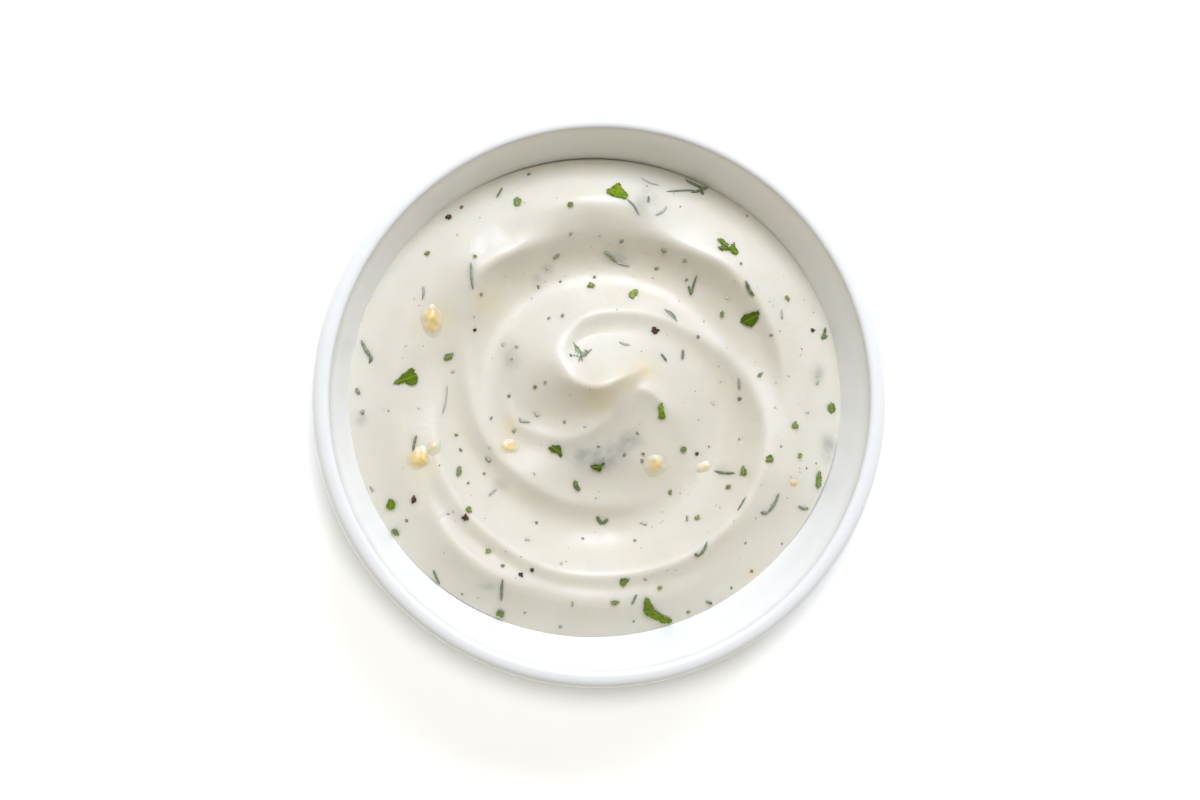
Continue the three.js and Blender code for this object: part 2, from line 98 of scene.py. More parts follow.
# Each row of a ridge is x, y, height, inner width, outer width and roundness of its crest.
RIDGES = [
    [
        (7.4, 5.2, 0.6, 1.2, 1.4, 0.4), (3.4, 3.5, 2.1, 3, 1.8, 0.5),
        (-0.6, 2.1, 3, 3.6, 2.4, 0.6), (-4.4, 3.5, 2.7, 3.2, 3.6, 0.8),
        (-6, 7, 1.6, 2.6, 5, 1.2), (-4.8, 10.8, 1.4, 1.9, 5.6, 1),
        (-1, 13.7, 2, 1.6, 5.6, 1), (6, 14.2, 2.3, 1.8, 6, 0.9),
        (12, 12.6, 2.5, 2.2, 6.6, 0.9), (17.5, 9.4, 2.4, 2.8, 6, 1),
        (22.3, 5, 2.3, 4, 4, 1), (25.5, -0.4, 2.2, 4.4, 3.2, 1),
        (26.5, -6.2, 2.1, 4.4, 3, 1), (25, -12.8, 2.2, 4.6, 2.4, 1),
        (21, -19.2, 2.3, 4.6, 1.8, 1.1), (14, -24.6, 2.2, 4, 1.5, 1.1),
        (5, -27.2, 2, 3.4, 1.5, 1.1), (-5, -27, 1.9, 3.4, 1.5, 1.1),
        (-13, -23.8, 1.9, 3.2, 2.2, 1), (-20, -18.2, 1.9, 3, 2.4, 1),
        (-24, -12.2, 1.7, 2.8, 2.4, 1), (-25.3, -6, 1.2, 2.4, 2.6, 1.1),
        (-24.8, 0, 0.5, 2, 2.4, 1.2), (-24, 5, 0, 2, 2.2, 1.2),
    ],
    [
        (3.4, 1.2, 0, 1.4, 1.2, 0.6), (1.6, -2.6, 0.7, 2.4, 1.3, 0.7),
        (-1.2, -4.8, 0.9, 2.8, 1.5, 0.7), (-5, -6, 0.9, 3, 1.5, 0.7),
        (-9, -5.4, 0.8, 3, 1.6, 0.7), (-12.5, -3.6, 0.7, 2.2, 1.8, 0.8),
        (-14.4, -0.5, 0.5, 1.6, 2, 1), (-14.6, 3, 0, 1.4, 2, 1.2),
    ],
    [
        (11.5, -14.8, 0, 2.5, 1.4, 0.8), (7, -16.3, 0.4, 2.5, 1.6, 0.9),
        (1, -16.8, 0.7, 2.6, 1.6, 0.9), (-5, -15.8, 0.9, 3, 1.6, 0.9),
        (-11, -12.8, 1.2, 2.8, 2, 0.8), (-15.6, -8.8, 1.2, 2.6, 1.6, 0.8),
        (-18.6, -3.5, 1.4, 2.6, 1.8, 0.9), (-20, 3, 1.4, 2.6, 2, 1.1),
        (-20.3, 10, 1.5, 2.8, 2.6, 1.4), (-19.9, 15, 2, 3, 3.6, 1.6),
        (-19, 19.4, 2.6, 3.2, 3, 1.4), (-16.2, 21.8, 2.6, 2.9, 2.5, 1),
        (-12.8, 23.4, 2.6, 2.9, 2.5, 0.9), (-9, 25, 2.3, 3, 3.6, 1.6),
        (-5, 26.4, 2, 3, 6, 2.2), (0, 27, 1.9, 3, 7, 2.4),
        (5, 26.8, 2, 3, 6, 2.2), (9, 25.8, 2.3, 3, 3.8, 1.6),
        (13, 24.2, 2.6, 2.9, 2.6, 1.1), (19.6, 21.4, 2.8, 3.2, 2.6, 1.2),
        (23, 18.3, 2.5, 3, 3.4, 1.1), (26, 14.5, 2.1, 2.8, 2.8, 0.9),
        (28.6, 8.5, 1.5, 2.4, 2, 0.8), (29.5, 2, 0.7, 2.2, 1.6, 0.8),
        (29.3, -4, 0, 2, 1.6, 0.8),
    ],
    [
        (-28, -8, 0, 2.4, 3, 1), (-26.4, -15.2, 0.6, 2.4, 2.8, 1.2),
        (-23.2, -22, 1.7, 3, 2, 1.4), (-17.2, -27.2, 2, 3, 2, 1.7),
        (-8.8, -30.2, 1.1, 1.8, 2.6, 1.8), (0, -31.9, 1, 1.6, 2.8, 1.8),
        (8, -31.4, 0.9, 1.6, 3, 1.8), (16, -28.6, 0.5, 1.8, 3, 1.4),
        (23, -23.5, 0, 1.8, 3, 1),
    ],
    [
        (5.4, 0.8, 0, 1.2, 1, 0.5), (7.6, 1.5, 1.2, 1.8, 1.6, 0.5),
        (9.8, 0.2, 1.4, 2.2, 2, 0.6), (11.6, -2.4, 0.9, 2.2, 2.2, 0.8),
        (12.6, -6, 0, 2, 2, 0.8),
    ],
]
CREST_STEPS = 6
RIDGE_BLEND = 3
TROUGH = {
    "x": 0.3, "y": -0.6, "radius": 20.3, "depth": 2.6, "width": 6.2, "lean": 0.38, "lean_towards": 56,
}
SHOULDER = {"radius": 32, "height": 0.45, "width": 3}

# Soft rises and hollows: x, y, height, width along X and along Y.
SWELLS = [
    (2.6, 2.8, 2.6, 6.4, 6.4),
    (-9, 7, 0.7, 5, 4),
    (-8.5, -4.5, -1.4, 5.5, 5.6),
    (1, -13.2, -0.9, 7, 3.6),
    (0, -20.5, -1.8, 9, 8),
    (0, 31.8, 1.5, 9, 4),
    (32, -13, 0.9, 8, 8),
]
EDGE_DROP_SIDES = 1.6
EDGE_DROP_ENDS = 4.6
EDGE_ROLL_START = 28
EDGE_ROLL_POWER = 2.2
# Painted shade: the dressing's creases get a warmer, darker colour, by how far each point lies below the
# dressing within HOLLOW_REACH.
HOLLOW_REACH = 2.2
HOLLOW_DEPTH = 1.2
HOLLOW_END = 32
HOLLOW_DIRECTIONS = 8

# The glow under the dressing's surface ends this far (mm) from its edge, and reaches this deep (m).
GLOW_INSET = 1.6
GLOW_DEPTH = 0.0012

# ---- The toppings (mm), placed as in the photograph

SEED = 7
GRID_REACH = 44
GRID_STEP = 0.25

BIT_COVER = 0.14
FLAKE_LIFT = 0.1
FLAKE_THICKNESS = 0.24
LEAF_SPACING = 0.22
CORNER_SOFTNESS = 0.15
TORN_TOOTH = 0.08
# Waves of a leaf along and across it, each as height (mm) and rate (radians per mm).
LEAF_WAVES = ((0.09, 2.4), (0.05, 5))
LEAF_CURL = 0.2
MIDRIB_DEPTH = 0.07
MIDRIB_WIDTH = 0.12

THREAD_SIDES = 8
THREAD_STEPS = 5
THREAD_BEND = 0.06
STEM_WIDTH = 0.2
FROND_THREAD_WIDTHS = (0.12, 0.2)

GARLIC_SLOPE = 1.4
SKIRT_DEPTH = 0.02

# Parsley: cut pieces of leaf, each with a shade from 0 (dark) to 1 (bright) and an outline of (x, y).
PARSLEY_LEAVES = [
    (0.9, [(1.1, 32.6), (2.5, 32), (4.4, 31.5), (4.8, 32.2), (3.8, 33.3), (3.5, 34.2)]),
    (0.6, [
        (20.5, 23.9), (21.3, 23.1), (21.9, 22.8), (22.4, 23.3), (21.8, 23.9), (21.7, 24.9), (21.2, 24.1),
    ]),
    (0.6, [(18.9, 25.4), (19.8, 25.3), (20.9, 24.3), (20.3, 24), (19.5, 24.6)]),
    (0.3, [(18.9, 24), (19.7, 24.1), (20.6, 24.1), (20.7, 23.6), (19.8, 23.4)]),
    (0.2, [(22.8, 12.6), (23.1, 11.9), (24.3, 11.5), (24.9, 11.5), (25.8, 14), (23.4, 13.4)]),
    (0.4, [(-32.1, 2.6), (-31, 2.4), (-30.2, 2.9), (-29.7, 2.4), (-28.3, 2.4), (-28.1, 3.4), (-29.1, 5.2)]),
    (0.7, [
        (7.5, -31.4), (7.6, -33.7), (8.1, -34.4), (11.7, -35.9), (12.5, -35.2), (9.3, -33.5), (8.2, -31.3),
    ]),
    (0.2, [(-7.7, -7.6), (-7.1, -8.3), (-6.2, -8.3), (-5.8, -9.1), (-5.4, -9), (-5.6, -7.6), (-6, -7.2)]),
    (1, [(9.6, -1.1), (9.9, -1.9), (9.6, -2.8), (10.2, -3.2), (10.9, -2.8), (10.4, -1.7), (10.2, -0.4)]),
    (0.1, [(-1.1, -10.5), (-0.2, -11), (0.7, -11.5), (0.8, -10.9), (1.4, -10), (0.7, -10.3)]),
    (0.5, [(-33.2, -16.9), (-32.2, -17.4), (-31.6, -16.4), (-32.6, -15.4)]),
]

# Small pieces of leaf: x, y, length, width, angle in degrees, shade.
PARSLEY_BITS = [
    (-12.5, 31.1, 1.4, 1.3, 20, 0.6), (6, 16.7, 1.9, 1.1, 32, 1), (-23.3, 6.8, 1.6, 0.9, 25, 0.4),
    (4.3, -28.7, 1.5, 1.2, 10, 0.3), (-15, -34.1, 1.4, 1, -35, 0.5), (27.3, -9.4, 1.3, 1.1, -30, 0.4),
    (31.4, -4.1, 1.2, 1, 80, 0.7), (-20.2, -17.2, 1.1, 0.9, -60, 0.9), (-0.6, 18, 1.3, 0.8, -5, 0.8),
    (23.2, -11.3, 1.6, 0.7, 85, 0.5), (14, -7.9, 1.1, 0.8, 0, 0.1), (35.4, -12.7, 3, 0.85, 86, 0.6),
    (-4.3, 30.6, 1, 0.8, 0, 0.7), (2.9, -32, 1.5, 0.6, 0, 0.7), (-31.6, -21, 1.4, 0.8, -40, 0.4),
    (37.5, -1.4, 1.8, 1.2, 80, 0.5), (26, 3.9, 1.1, 0.4, 45, 0.7), (20, 13.4, 1.1, 0.55, 85, 0.6),
    (30.3, 15.9, 1.1, 0.5, -60, 0.9), (-26.7, 23, 1, 0.6, 30, 0.7), (16, -18.7, 0.8, 0.6, 30, 0.8),
    (20.9, -13.8, 0.7, 0.6, 10, 0.4), (11.9, -14.7, 0.8, 0.6, 60, 0.6), (-19.3, 22.5, 0.8, 0.4, -60, 0.8),
    (7.4, -8.6, 0.6, 0.5, 0, 0.3), (-21.6, -11.2, 1.5, 0.6, 80, 0.6), (32.2, -8.9, 0.8, 0.7, 0, 1),
    (-9.8, 2, 0.6, 0.4, 0, 0.6), (10, -29.7, 0.7, 0.5, 0, 0.4), (-17.2, -23.7, 0.8, 0.6, 0, 1),
]

# Dill: the threads of a sprig, each as width, cover (0 lies on top, 1 under the dressing) and its points.
DILL_THREADS = [
    (0.4, 0.1, [(-15, -28.1), (-15.1, -30), (-15, -31.9)]), (0.4, 0, [(14.7, 17.9), (15.2, 16.4)]),
    (0.35, 0.1, [(15.2, 16.4), (15.9, 19.5)]), (0.5, 0, [(23.3, 18.7), (23.9, 17.2), (24.7, 16.2)]),
    (0.45, 0.1, [(25.9, -17.9), (27.1, -18)]), (0.4, 0.2, [(27.1, -18), (28.1, -16.6), (28.8, -14.8)]),
    (0.45, 0, [(15.3, -24.3), (16.1, -24.7)]), (0.4, 0.1, [(16.1, -24.7), (17.3, -22.4)]),
    (0.7, 0, [(-3.3, -12.8), (-2.5, -14.4)]), (0.5, 0, [(0.3, -18.5), (1.2, -19.8)]),
    (0.5, 0, [(1.2, -19.8), (2.1, -19)]), (0.4, 0.1, [(-28.4, -5.6), (-29, -8.2)]),
    (0.5, 0.1, [(-37, 9.3), (-36.3, 7.8), (-35.5, 6.6), (-35.8, 5.6)]),
    (0.4, 0.1, [(18.9, -11.4), (22, -11.7)]), (0.4, 0, [(36.6, 11.3), (35.9, 9.5)]),
    (0.4, 0, [(35.9, 9.5), (36.9, 10)]), (0.35, 0.3, [(4.5, 31.5), (5.7, 30.4), (6.5, 28.9)]),
    (0.3, 0.6, [(7.1, 34.9), (10, 33.7)]), (0.35, 0.1, [(8.1, 32), (7.9, 30.9)]),
    (0.35, 0.5, [(9.1, 28.9), (10.3, 29.5), (11, 30.4)]), (0.4, 0.2, [(1.3, 23.2), (3.4, 21.5)]),
    (0.35, 0.4, [(3.4, 21.5), (5.5, 21)]), (0.3, 0.4, [(10.8, 14.2), (12.9, 12.2)]),
    (0.3, 0.1, [(11.2, 14), (12.7, 12.6)]), (0.45, 0.2, [(-6.8, 22.1), (-5.8, 22.9)]),
    (0.3, 0.2, [(11.1, 32.7), (13.5, 32.9), (15.8, 33)]), (0.4, 0.1, [(14.4, 34.7), (17.6, 33.2)]),
    (0.4, 0, [(15.1, 32.7), (17.3, 33.4)]), (0.5, 0, [(16.6, 33.6), (17.2, 32.3)]),
    (0.35, 0.3, [(-20, 21.5), (-19.9, 19.3), (-19.6, 17.2)]), (0.35, 0.4, [(-27.4, 17.8), (-27.5, 15.6)]),
    (0.3, 0.1, [(-14.7, 33.3), (-15.7, 31.7)]), (0.35, 0.1, [(-25.7, -26.9), (-24.6, -29.2)]),
    (0.3, 0.1, [(6.3, -30.7), (5.5, -32.5)]), (0.5, 0.1, [(-37.8, 1.8), (-37.3, 0.8)]),
    (0.5, 0.2, [(-21.8, -10.5), (-22, -12.1)]), (0.35, 0.5, [(-15.7, -14.2), (-17, -15.3)]),
    (0.5, 0.4, [(-17.5, -9.1), (-16.6, -9.8)]), (0.3, 0.4, [(-12.1, -2.9), (-11.8, -3.6)]),
    (0.3, 0.3, [(-11.8, -3.6), (-10.4, -3.6)]), (0.4, 0.6, [(3.4, 9), (5.2, 8.5)]),
    (0.35, 0.1, [(10.2, 7.2), (11.1, 5.9)]), (0.4, 0.1, [(13.8, 7.8), (13.7, 6.2)]),
    (0.35, 0.3, [(22.6, 3.3), (22.8, 1.4)]), (0.35, 0.5, [(29.2, 14.2), (29.3, 12.5)]),
    (0.25, 0.1, [(22.1, -17.6), (23.4, -15.4)]), (0.4, 0.1, [(32.1, -17), (33.9, -17.4)]),
    (0.3, 0.4, [(-35.7, -13.6), (-35, -14.5)]), (0.3, 0.5, [(7.1, -19.6), (8.3, -20)]),
    (0.3, 0.2, [(14.4, -18.4), (14.4, -19.4)]), (0.3, 0.4, [(-3.9, -31.8), (-3.9, -32.8)]),
    (0.4, 0, [(17.6, -32.2), (18.8, -32.6)]), (0.25, 0.5, [(-23.5, 2.2), (-23.7, -0.2), (-24.3, -2.4)]),
    (0.35, 0.6, [(-11.4, -22.1), (-10.5, -22.2)]),
]

# Lacy dill fronds: x, y of the root, angle in degrees, length, number of threads.
DILL_FRONDS = [(-3.9, 9, -65, 3.4, 16), (-0.9, 8, -150, 2.6, 12), (16.4, 33.8, -35, 1.6, 7)]

# Garlic: soft lumps that run out into the dressing, as x, y, length, width, angle, height, yellow.
GARLIC = [
    (-26, 12.5, 5.4, 3.3, 95, 0.7, 1), (-27.8, -9.3, 4.4, 3.5, 30, 0.65, 1),
    (-25.7, -7.4, 3.2, 2.4, 50, 0.4, 0.5), (-13.8, -7.3, 3.3, 2.6, 0, 0.4, 0.75),
    (9.5, -10.4, 4.2, 3.4, 50, 0.45, 0.7), (17.2, -10.9, 2.7, 1.8, 20, 0.35, 0.6),
    (31.2, -13.3, 1.4, 1.2, 0, 0.25, 1),
]

# Cracked pepper: x, y, size.
PEPPER = [
    (9.3, 10.8, 1), (-20.8, -18.5, 1), (-28.8, -15.7, 1), (-23.2, 28.6, 0.9),
    (34.4, 10.8, 0.6), (16.1, -8.7, 0.6), (-19.2, 10.9, 0.5), (-12.1, -27.5, 0.7), (-10.3, -26.8, 0.6),
]

# Specks of herb: x, y, size, and how deep each is covered.
SPECKS = [
    (-21.1, 30.2, 0.6, 0), (-18.3, 28.5, 0.5, 0.5), (-21.9, 25.8, 0.6, 0.5), (-18.3, 16.5, 0.6, 0.1),
    (-10.5, 35.4, 0.6, 0.1), (-4.2, 26, 0.6, 0.2), (0.4, 25.7, 0.5, 0.4), (4, 24.9, 0.8, 0.1),
    (10.6, 23.4, 0.9, 0.1), (9.7, 20.6, 0.7, 0.1), (-7.7, 20.7, 0.6, 0.5), (-9, 17.7, 0.6, 0.1),
    (-5.5, 18.5, 0.5, 0.2), (-0.1, 19.2, 0.6, 0.1), (-7.5, 12.7, 0.6, 0.2), (-5.4, 13.1, 0.6, 0.2),
    (24.2, 28.9, 0.6, 0.3), (13.2, 30.3, 0.4, 0.2), (22.6, 21.3, 0.5, 0.1), (13.9, 21.8, 0.6, 0.2),
    (20.8, 16, 0.7, 0.6), (33, 15.5, 0.5, 0.6), (34.6, 13.6, 0.4, 0.5), (27.5, 10.1, 0.5, 0.1),
    (17.2, 12.2, 0.4, 0.4), (16.2, 9.8, 0.6, 0.1), (22.9, 0, 0.7, 0.1), (18.7, -0.7, 0.8, 0.6),
    (28.3, -1.4, 0.6, 0.5), (33.3, -2.2, 0.6, 0.5), (35.1, 2.5, 0.8, 0.3), (22.8, -6.4, 0.5, 0.3),
    (29.1, -7.5, 0.5, 0.3), (18.1, -7.6, 0.4, 0.2), (33.3, -11, 0.4, 0.2), (34.9, -10.2, 0.4, 0.3),
    (32.5, 7.9, 0.4, 0.3), (6.4, -5.4, 0.5, 0.1), (4.4, -8.8, 0.6, 0.1), (7.2, -9.8, 0.6, 0.1),
    (0.3, -7.5, 0.5, 0.1), (-9.8, -11.7, 0.5, 0.5), (-8.2, 2.7, 0.5, 0.2), (-5.1, -3.6, 0.6, 0.2),
    (-1.9, -4.3, 0.5, 0.5), (-9.4, -2.4, 0.8, 0.4), (-13, -5, 0.8, 0.3), (-14.6, 8.5, 0.7, 0.4),
    (-12.6, 8.2, 0.6, 0.3), (-13.3, 6.3, 0.5, 0.3), (-13.8, 0.5, 0.6, 0.1), (-16.6, -3, 0.6, 0.2),
    (-22.1, -5.6, 0.6, 0.1), (-21.4, -8, 0.6, 0.1), (-16.9, -7.6, 0.6, 0.5), (-36.8, -2, 0.8, 0.2),
    (-28.1, -1.4, 0.5, 0.6), (-32.8, -1.8, 0.3, 0.2), (-30.1, 8.4, 0.6, 0.6), (-22.6, 4.3, 0.6, 0.5),
    (-20.3, -13.2, 0.5, 0.1), (-17.7, -11.7, 0.5, 0.2), (-23.5, -18, 0.4, 0.3), (-29.9, -19, 0.6, 0.1),
    (-15, -26.1, 0.6, 0.1), (-21.1, -30.7, 0.5, 0.2), (-18.6, -31.3, 0.5, 0.5), (-5.7, -26, 0.8, 0.5),
    (-9.4, -19.5, 0.6, 0.2), (-1.9, -22.1, 0.5, 0.2), (6.3, -22.4, 0.5, 0.2), (7.6, -28.4, 0.5, 0.2),
    (6.1, -35.2, 0.4, 0.1), (-11.2, -33.7, 0.5, 0.2), (-5.5, -36, 0.8, 0.3), (23.6, -22.8, 0.5, 0.2),
    (29.7, -23, 0.5, 0.2), (24.9, -27.3, 0.6, 0.1), (21.7, -30, 0.6, 0.1), (14.9, -33.8, 0.7, 0.1),
    (25.1, -18.8, 0.5, 0.5), (19.5, -17.2, 0.4, 0.5), (-4.3, 6.9, 0.5, 0.1), (14.4, 18.8, 0.5, 0),
]
FINE_SPECKS = 150
FINE_SPECK_SIZES = (0.12, 0.3)
FINE_SPECK_REACH = 36

# Herbs that show dimly through the dressing: x, y, size along X and Y, strength.
SUNK_HERBS = [
    (7.8, 31.6, 2.4, 2.5, 0.3), (-13.5, 6.7, 1.3, 1.8, 0.45), (-7.6, 20.4, 0.9, 0.9, 0.4),
    (-9.2, 18.6, 0.8, 1.3, 0.4), (3.4, 22.2, 2, 1.1, 0.5), (35.3, 3.8, 1.1, 1.7, 0.4),
    (37, -7.6, 1.2, 2.2, 0.6), (-37.2, -3.1, 1, 1, 0.4), (0.4, -9.9, 2.8, 1.5, 0.75),
    (5.2, -6.4, 2, 1.4, 0.5), (-2.6, -8.6, 2.4, 1.3, 0.35), (3.4, -8.2, 1.8, 1.3, 0.4),
    (0.6, -8.6, 5, 3.2, 0.14), (-17.4, -29.4, 1.4, 0.6, 0.4), (20.6, -11.4, 1.6, 1.2, 0.2),
    (-19.8, 19.4, 0.7, 2.4, 0.25), (-15.2, -13.6, 1.4, 1.1, 0.25), (11.8, 13.4, 1.2, 1, 0.2),
    (-28.8, -6.6, 0.7, 1.2, 0.3), (6.4, 30.2, 1, 1.4, 0.3),
]

# Where the dressing is tinged with yellow by garlic near its surface: x, y, size, strength.
YELLOW_TINGES = [
    (7.3, 4.7, 1.5, 0.4), (-17.5, 15.5, 1.8, 0.3), (-13.8, -3.8, 1.3, 0.35), (4.6, 2.8, 1.6, 0.25),
    (0, 0.4, 2.6, 0.25), (-27.7, -9.6, 2.2, 0.5), (-25.6, 12.5, 2.2, 0.45), (9.4, -10.4, 2.2, 0.25),
    (-13.9, -7.3, 1.8, 0.35), (24.9, -27.6, 1, 0.4),
]


# ---- Shape helpers

def bell(distance, width):
    return np.exp(-((distance / width) ** 2))


def bezier(start, control, end, steps=ARC_STEPS):
    """Points of a quadratic curve after its start."""
    points = []
    for i in range(1, steps + 1):
        t = i / steps
        points.append(tuple(
            (1 - t) ** 2 * a + 2 * t * (1 - t) * b + t * t * c for a, b, c in zip(start, control, end)
        ))
    return points


def smooth_line(points, steps):
    """A Catmull-Rom line through the points."""
    p = np.array(points, float)
    p = np.vstack([2 * p[0] - p[1], p, 2 * p[-1] - p[-2]])
    rows = []
    for a, b, c, d in zip(p, p[1:], p[2:], p[3:]):
        for k in range(steps):
            t = k / steps
            bend = 2 * a - 5 * b + 4 * c - d + t * (3 * b - a - 3 * c + d)
            rows.append(b + 0.5 * t * ((c - a) + t * bend))
    rows.append(p[-2])
    return np.array(rows)


def make_piece(name, points, faces):
    """A smooth-shaded mesh object from points in millimetres."""
    mesh = bpy.data.meshes.new(name)
    mesh.from_pydata((np.asarray(points, float) * MM).tolist(), [], faces)
    mesh.polygons.foreach_set("use_smooth", [True] * len(mesh.polygons))
    mesh.update()
    piece = bpy.data.objects.new(name, mesh)
    bpy.context.scene.collection.objects.link(piece)
    return piece


# ---- The bowl

def inner_wall_radius(z):
    return RIM_RADIUS - LIP_WIDTH - WALL_TAPER * (BOWL_HEIGHT - LIP_INNER_ROUND - z)


def outer_wall_radius(z):
    return RIM_RADIUS - WALL_TAPER * (BOWL_HEIGHT - LIP_OUTER_ROUND - z)


def straight(start, end, steps):
    """Points of a straight stretch after its start."""
    return [tuple(a + (b - a) * i / steps for a, b in zip(start, end)) for i in range(1, steps + 1)]


def inside_outline(top_height, gap):
    """The bowl's inside from top_height down to the axis, as (radius, z), moved in and up by a gap."""
    corner_z = FLOOR_HEIGHT + gap
    top = (inner_wall_radius(top_height) - gap, top_height)
    bend = (inner_wall_radius(WALL_BEND_HEIGHT) - gap, WALL_BEND_HEIGHT)
    corner = (inner_wall_radius(corner_z) - gap, corner_z)
    flat = (FLOOR_FLAT_RADIUS, corner_z)
    wall = [top] + straight(top, bend, WALL_STEPS)
    return wall + bezier(bend, corner, flat) + straight(flat, (0, corner_z), FLOOR_STEPS)


def bowl_outline():
    """Underside, foot, outer wall, lip and inside, as (radius, z) from axis to axis."""
    lip_top = RIM_RADIUS - LIP_OUTER_ROUND
    inner, outer = FOOT_INNER_RADIUS, FOOT_OUTER_RADIUS
    outline = [(0, FOOT_RECESS)]
    outline += straight(outline[-1], (inner - FOOT_ROUND, FOOT_RECESS), FLOOR_STEPS)
    slant = (inner - FOOT_INNER_SLANT, FOOT_RECESS)
    outline += bezier(outline[-1], slant, (inner, FOOT_INNER_EDGE), FOOT_ARC_STEPS)
    edge = (inner + FOOT_INNER_EDGE, 0)
    outline += bezier(outline[-1], edge, (inner + FOOT_INNER_ROUND, 0), FOOT_EDGE_STEPS)
    outline += straight(outline[-1], (outer - FOOT_ROUND, 0), FOOT_FLAT_STEPS)
    outline += bezier(outline[-1], (outer, 0), (outer, FOOT_ROUND), FOOT_ARC_STEPS)
    flare = (outer + FOOT_FLARE, FOOT_HEIGHT)
    outline += bezier(outline[-1], (outer, FOOT_HEIGHT), flare, FOOT_FLARE_STEPS)
    bend = (outer_wall_radius(WALL_BEND_HEIGHT), WALL_BEND_HEIGHT)
    outline += bezier(outline[-1], (outer_wall_radius(FOOT_HEIGHT), FOOT_HEIGHT), bend)
    outline += straight(bend, (RIM_RADIUS, BOWL_HEIGHT - LIP_OUTER_ROUND), WALL_STEPS)
    outline += bezier(outline[-1], (RIM_RADIUS, BOWL_HEIGHT), (lip_top, BOWL_HEIGHT))
    inner_edge = lip_top - LIP_INNER_ROUND
    outline += bezier(outline[-1], (inner_edge, BOWL_HEIGHT), (inner_edge, BOWL_HEIGHT - LIP_INNER_ROUND))
    return outline + inside_outline(BOWL_HEIGHT - LIP_INNER_ROUND, 0)[1:]


def turned(outline, sides):
    """Points and faces of an outline turned round the axis, on which its two ends lie."""
    points = [(0, 0, outline[0][1])]
    for radius, z in outline[1:-1]:
        for i in range(sides):
            turn = 2 * math.pi * i / sides
            points.append((radius * math.cos(turn), radius * math.sin(turn), z))
    points.append((0, 0, outline[-1][1]))
    faces = []
    rows = len(outline) - 2
    for i in range(sides):
        j = (i + 1) % sides
        faces.append((0, 1 + j, 1 + i))
        for row in range(rows - 1):
            a, b = 1 + row * sides, 1 + (row + 1) * sides
            faces.append((a + i, a + j, b + j, b + i))
        last = 1 + (rows - 1) * sides
        faces.append((last + i, last + j, len(points) - 1))
    return points, faces


def make_bowl():
    bowl = make_piece("porcelain_bowl", *turned(bowl_outline(), BOWL_SIDES))
    bowl.data.materials.append(porcelain_material())
    return bowl


# ---- The dressing

def ridge_height(x, y, ridge):
    """How high one ridge stands: it falls away from its crest at its own rate on each side."""
    line = smooth_line(ridge, CREST_STEPS)
    highest = np.zeros(np.shape(x))
    for a, b in zip(line, line[1:]):
        ux, uy = b[0] - a[0], b[1] - a[1]
        length = math.hypot(ux, uy)
        t = np.clip(((x - a[0]) * ux + (y - a[1]) * uy) / length ** 2, 0, 1)
        dx, dy = x - a[0] - t * ux, y - a[1] - t * uy
        height, inner, outer, roundness = (a[i] + (b[i] - a[i]) * t for i in range(2, 6))
        distance = np.sqrt(dx * dx + dy * dy + roundness ** 2)
        outwards = 0.5 + 0.5 * (ux * dy - uy * dx) / length / distance
        width = inner + (outer - inner) * outwards
        highest = np.maximum(highest, height * np.exp((roundness - distance) / width))
    return highest


def surface_height(x, y):
    """Height of the dressing's top above the table."""
    radius, turn = np.hypot(x, y), np.arctan2(y, x)
    ridges = sum(ridge_height(x, y, ridge) ** RIDGE_BLEND for ridge in RIDGES) ** (1 / RIDGE_BLEND)
    trough = bell(np.hypot(x - TROUGH["x"], y - TROUGH["y"]) - TROUGH["radius"], TROUGH["width"])
    lean = 1 + TROUGH["lean"] * np.cos(turn - math.radians(TROUGH["lean_towards"]))
    trough = trough * TROUGH["depth"] * lean
    shoulder = SHOULDER["height"] * bell(radius - SHOULDER["radius"], SHOULDER["width"])
    swells = sum(
        height * bell(x - swell_x, along_x) * bell(y - swell_y, along_y)
        for swell_x, swell_y, height, along_x, along_y in SWELLS
    )
    edge = dressing_edge_radius(turn)
    roll = np.clip((radius - EDGE_ROLL_START) / (edge - EDGE_ROLL_START), 0, None) ** EDGE_ROLL_POWER
    return SURFACE_LEVEL + ridges + swells - trough + shoulder - edge_drop(turn) * roll


def height_grid():
    """The dressing's top over an even grid, for the many small heights that the toppings need."""
    line = np.arange(-GRID_REACH, GRID_REACH + GRID_STEP, GRID_STEP)
    return surface_height(*np.meshgrid(line, line))


def top_at(points):
    """Heights of the dressing's top at rows of x, y, from the grid."""
    place = (np.asarray(points, float)[:, :2] + GRID_REACH) / GRID_STEP
    column, row = np.floor(place).astype(int).T
    right, up = (place - np.floor(place)).T
    near = TOP_GRID[row, column] * (1 - right) + TOP_GRID[row, column + 1] * right
    far = TOP_GRID[row + 1, column] * (1 - right) + TOP_GRID[row + 1, column + 1] * right
    return near * (1 - up) + far * up


def edge_drop(turn):
    """How far the dressing's edge dips: least at the left and right sides of the bowl."""
    return EDGE_DROP_SIDES + (EDGE_DROP_ENDS - EDGE_DROP_SIDES) * np.sin(turn) ** 2


def dressing_edge_radius(turn):
    """The dressing's edge reaches a little into the wall, so that no gap shows."""
    return inner_wall_radius(SURFACE_LEVEL - edge_drop(turn)) + EDGE_INTO_WALL


def even_turns(count):
    return 2 * np.pi * np.arange(count) / count


def ring(turns, radius):
    return np.column_stack([radius * np.cos(turns), radius * np.sin(turns)])


def stitch(a_start, a_count, b_start, b_count):
    """Triangles between two rings with any numbers of points; a one-point ring is a tip."""
    faces = []
    i = j = 0
    steps_a = a_count if a_count > 1 else 0
    steps_b = b_count if b_count > 1 else 0
    while i < steps_a or j < steps_b:
        a0, b0 = a_start + i % a_count, b_start + j % b_count
        if j >= steps_b or (i < steps_a and (i + 1) / a_count <= (j + 1) / b_count):
            i += 1
            faces.append((a0, b0, a_start + i % a_count))
        else:
            j += 1
            faces.append((a0, b0, b_start + j % b_count))
    return faces


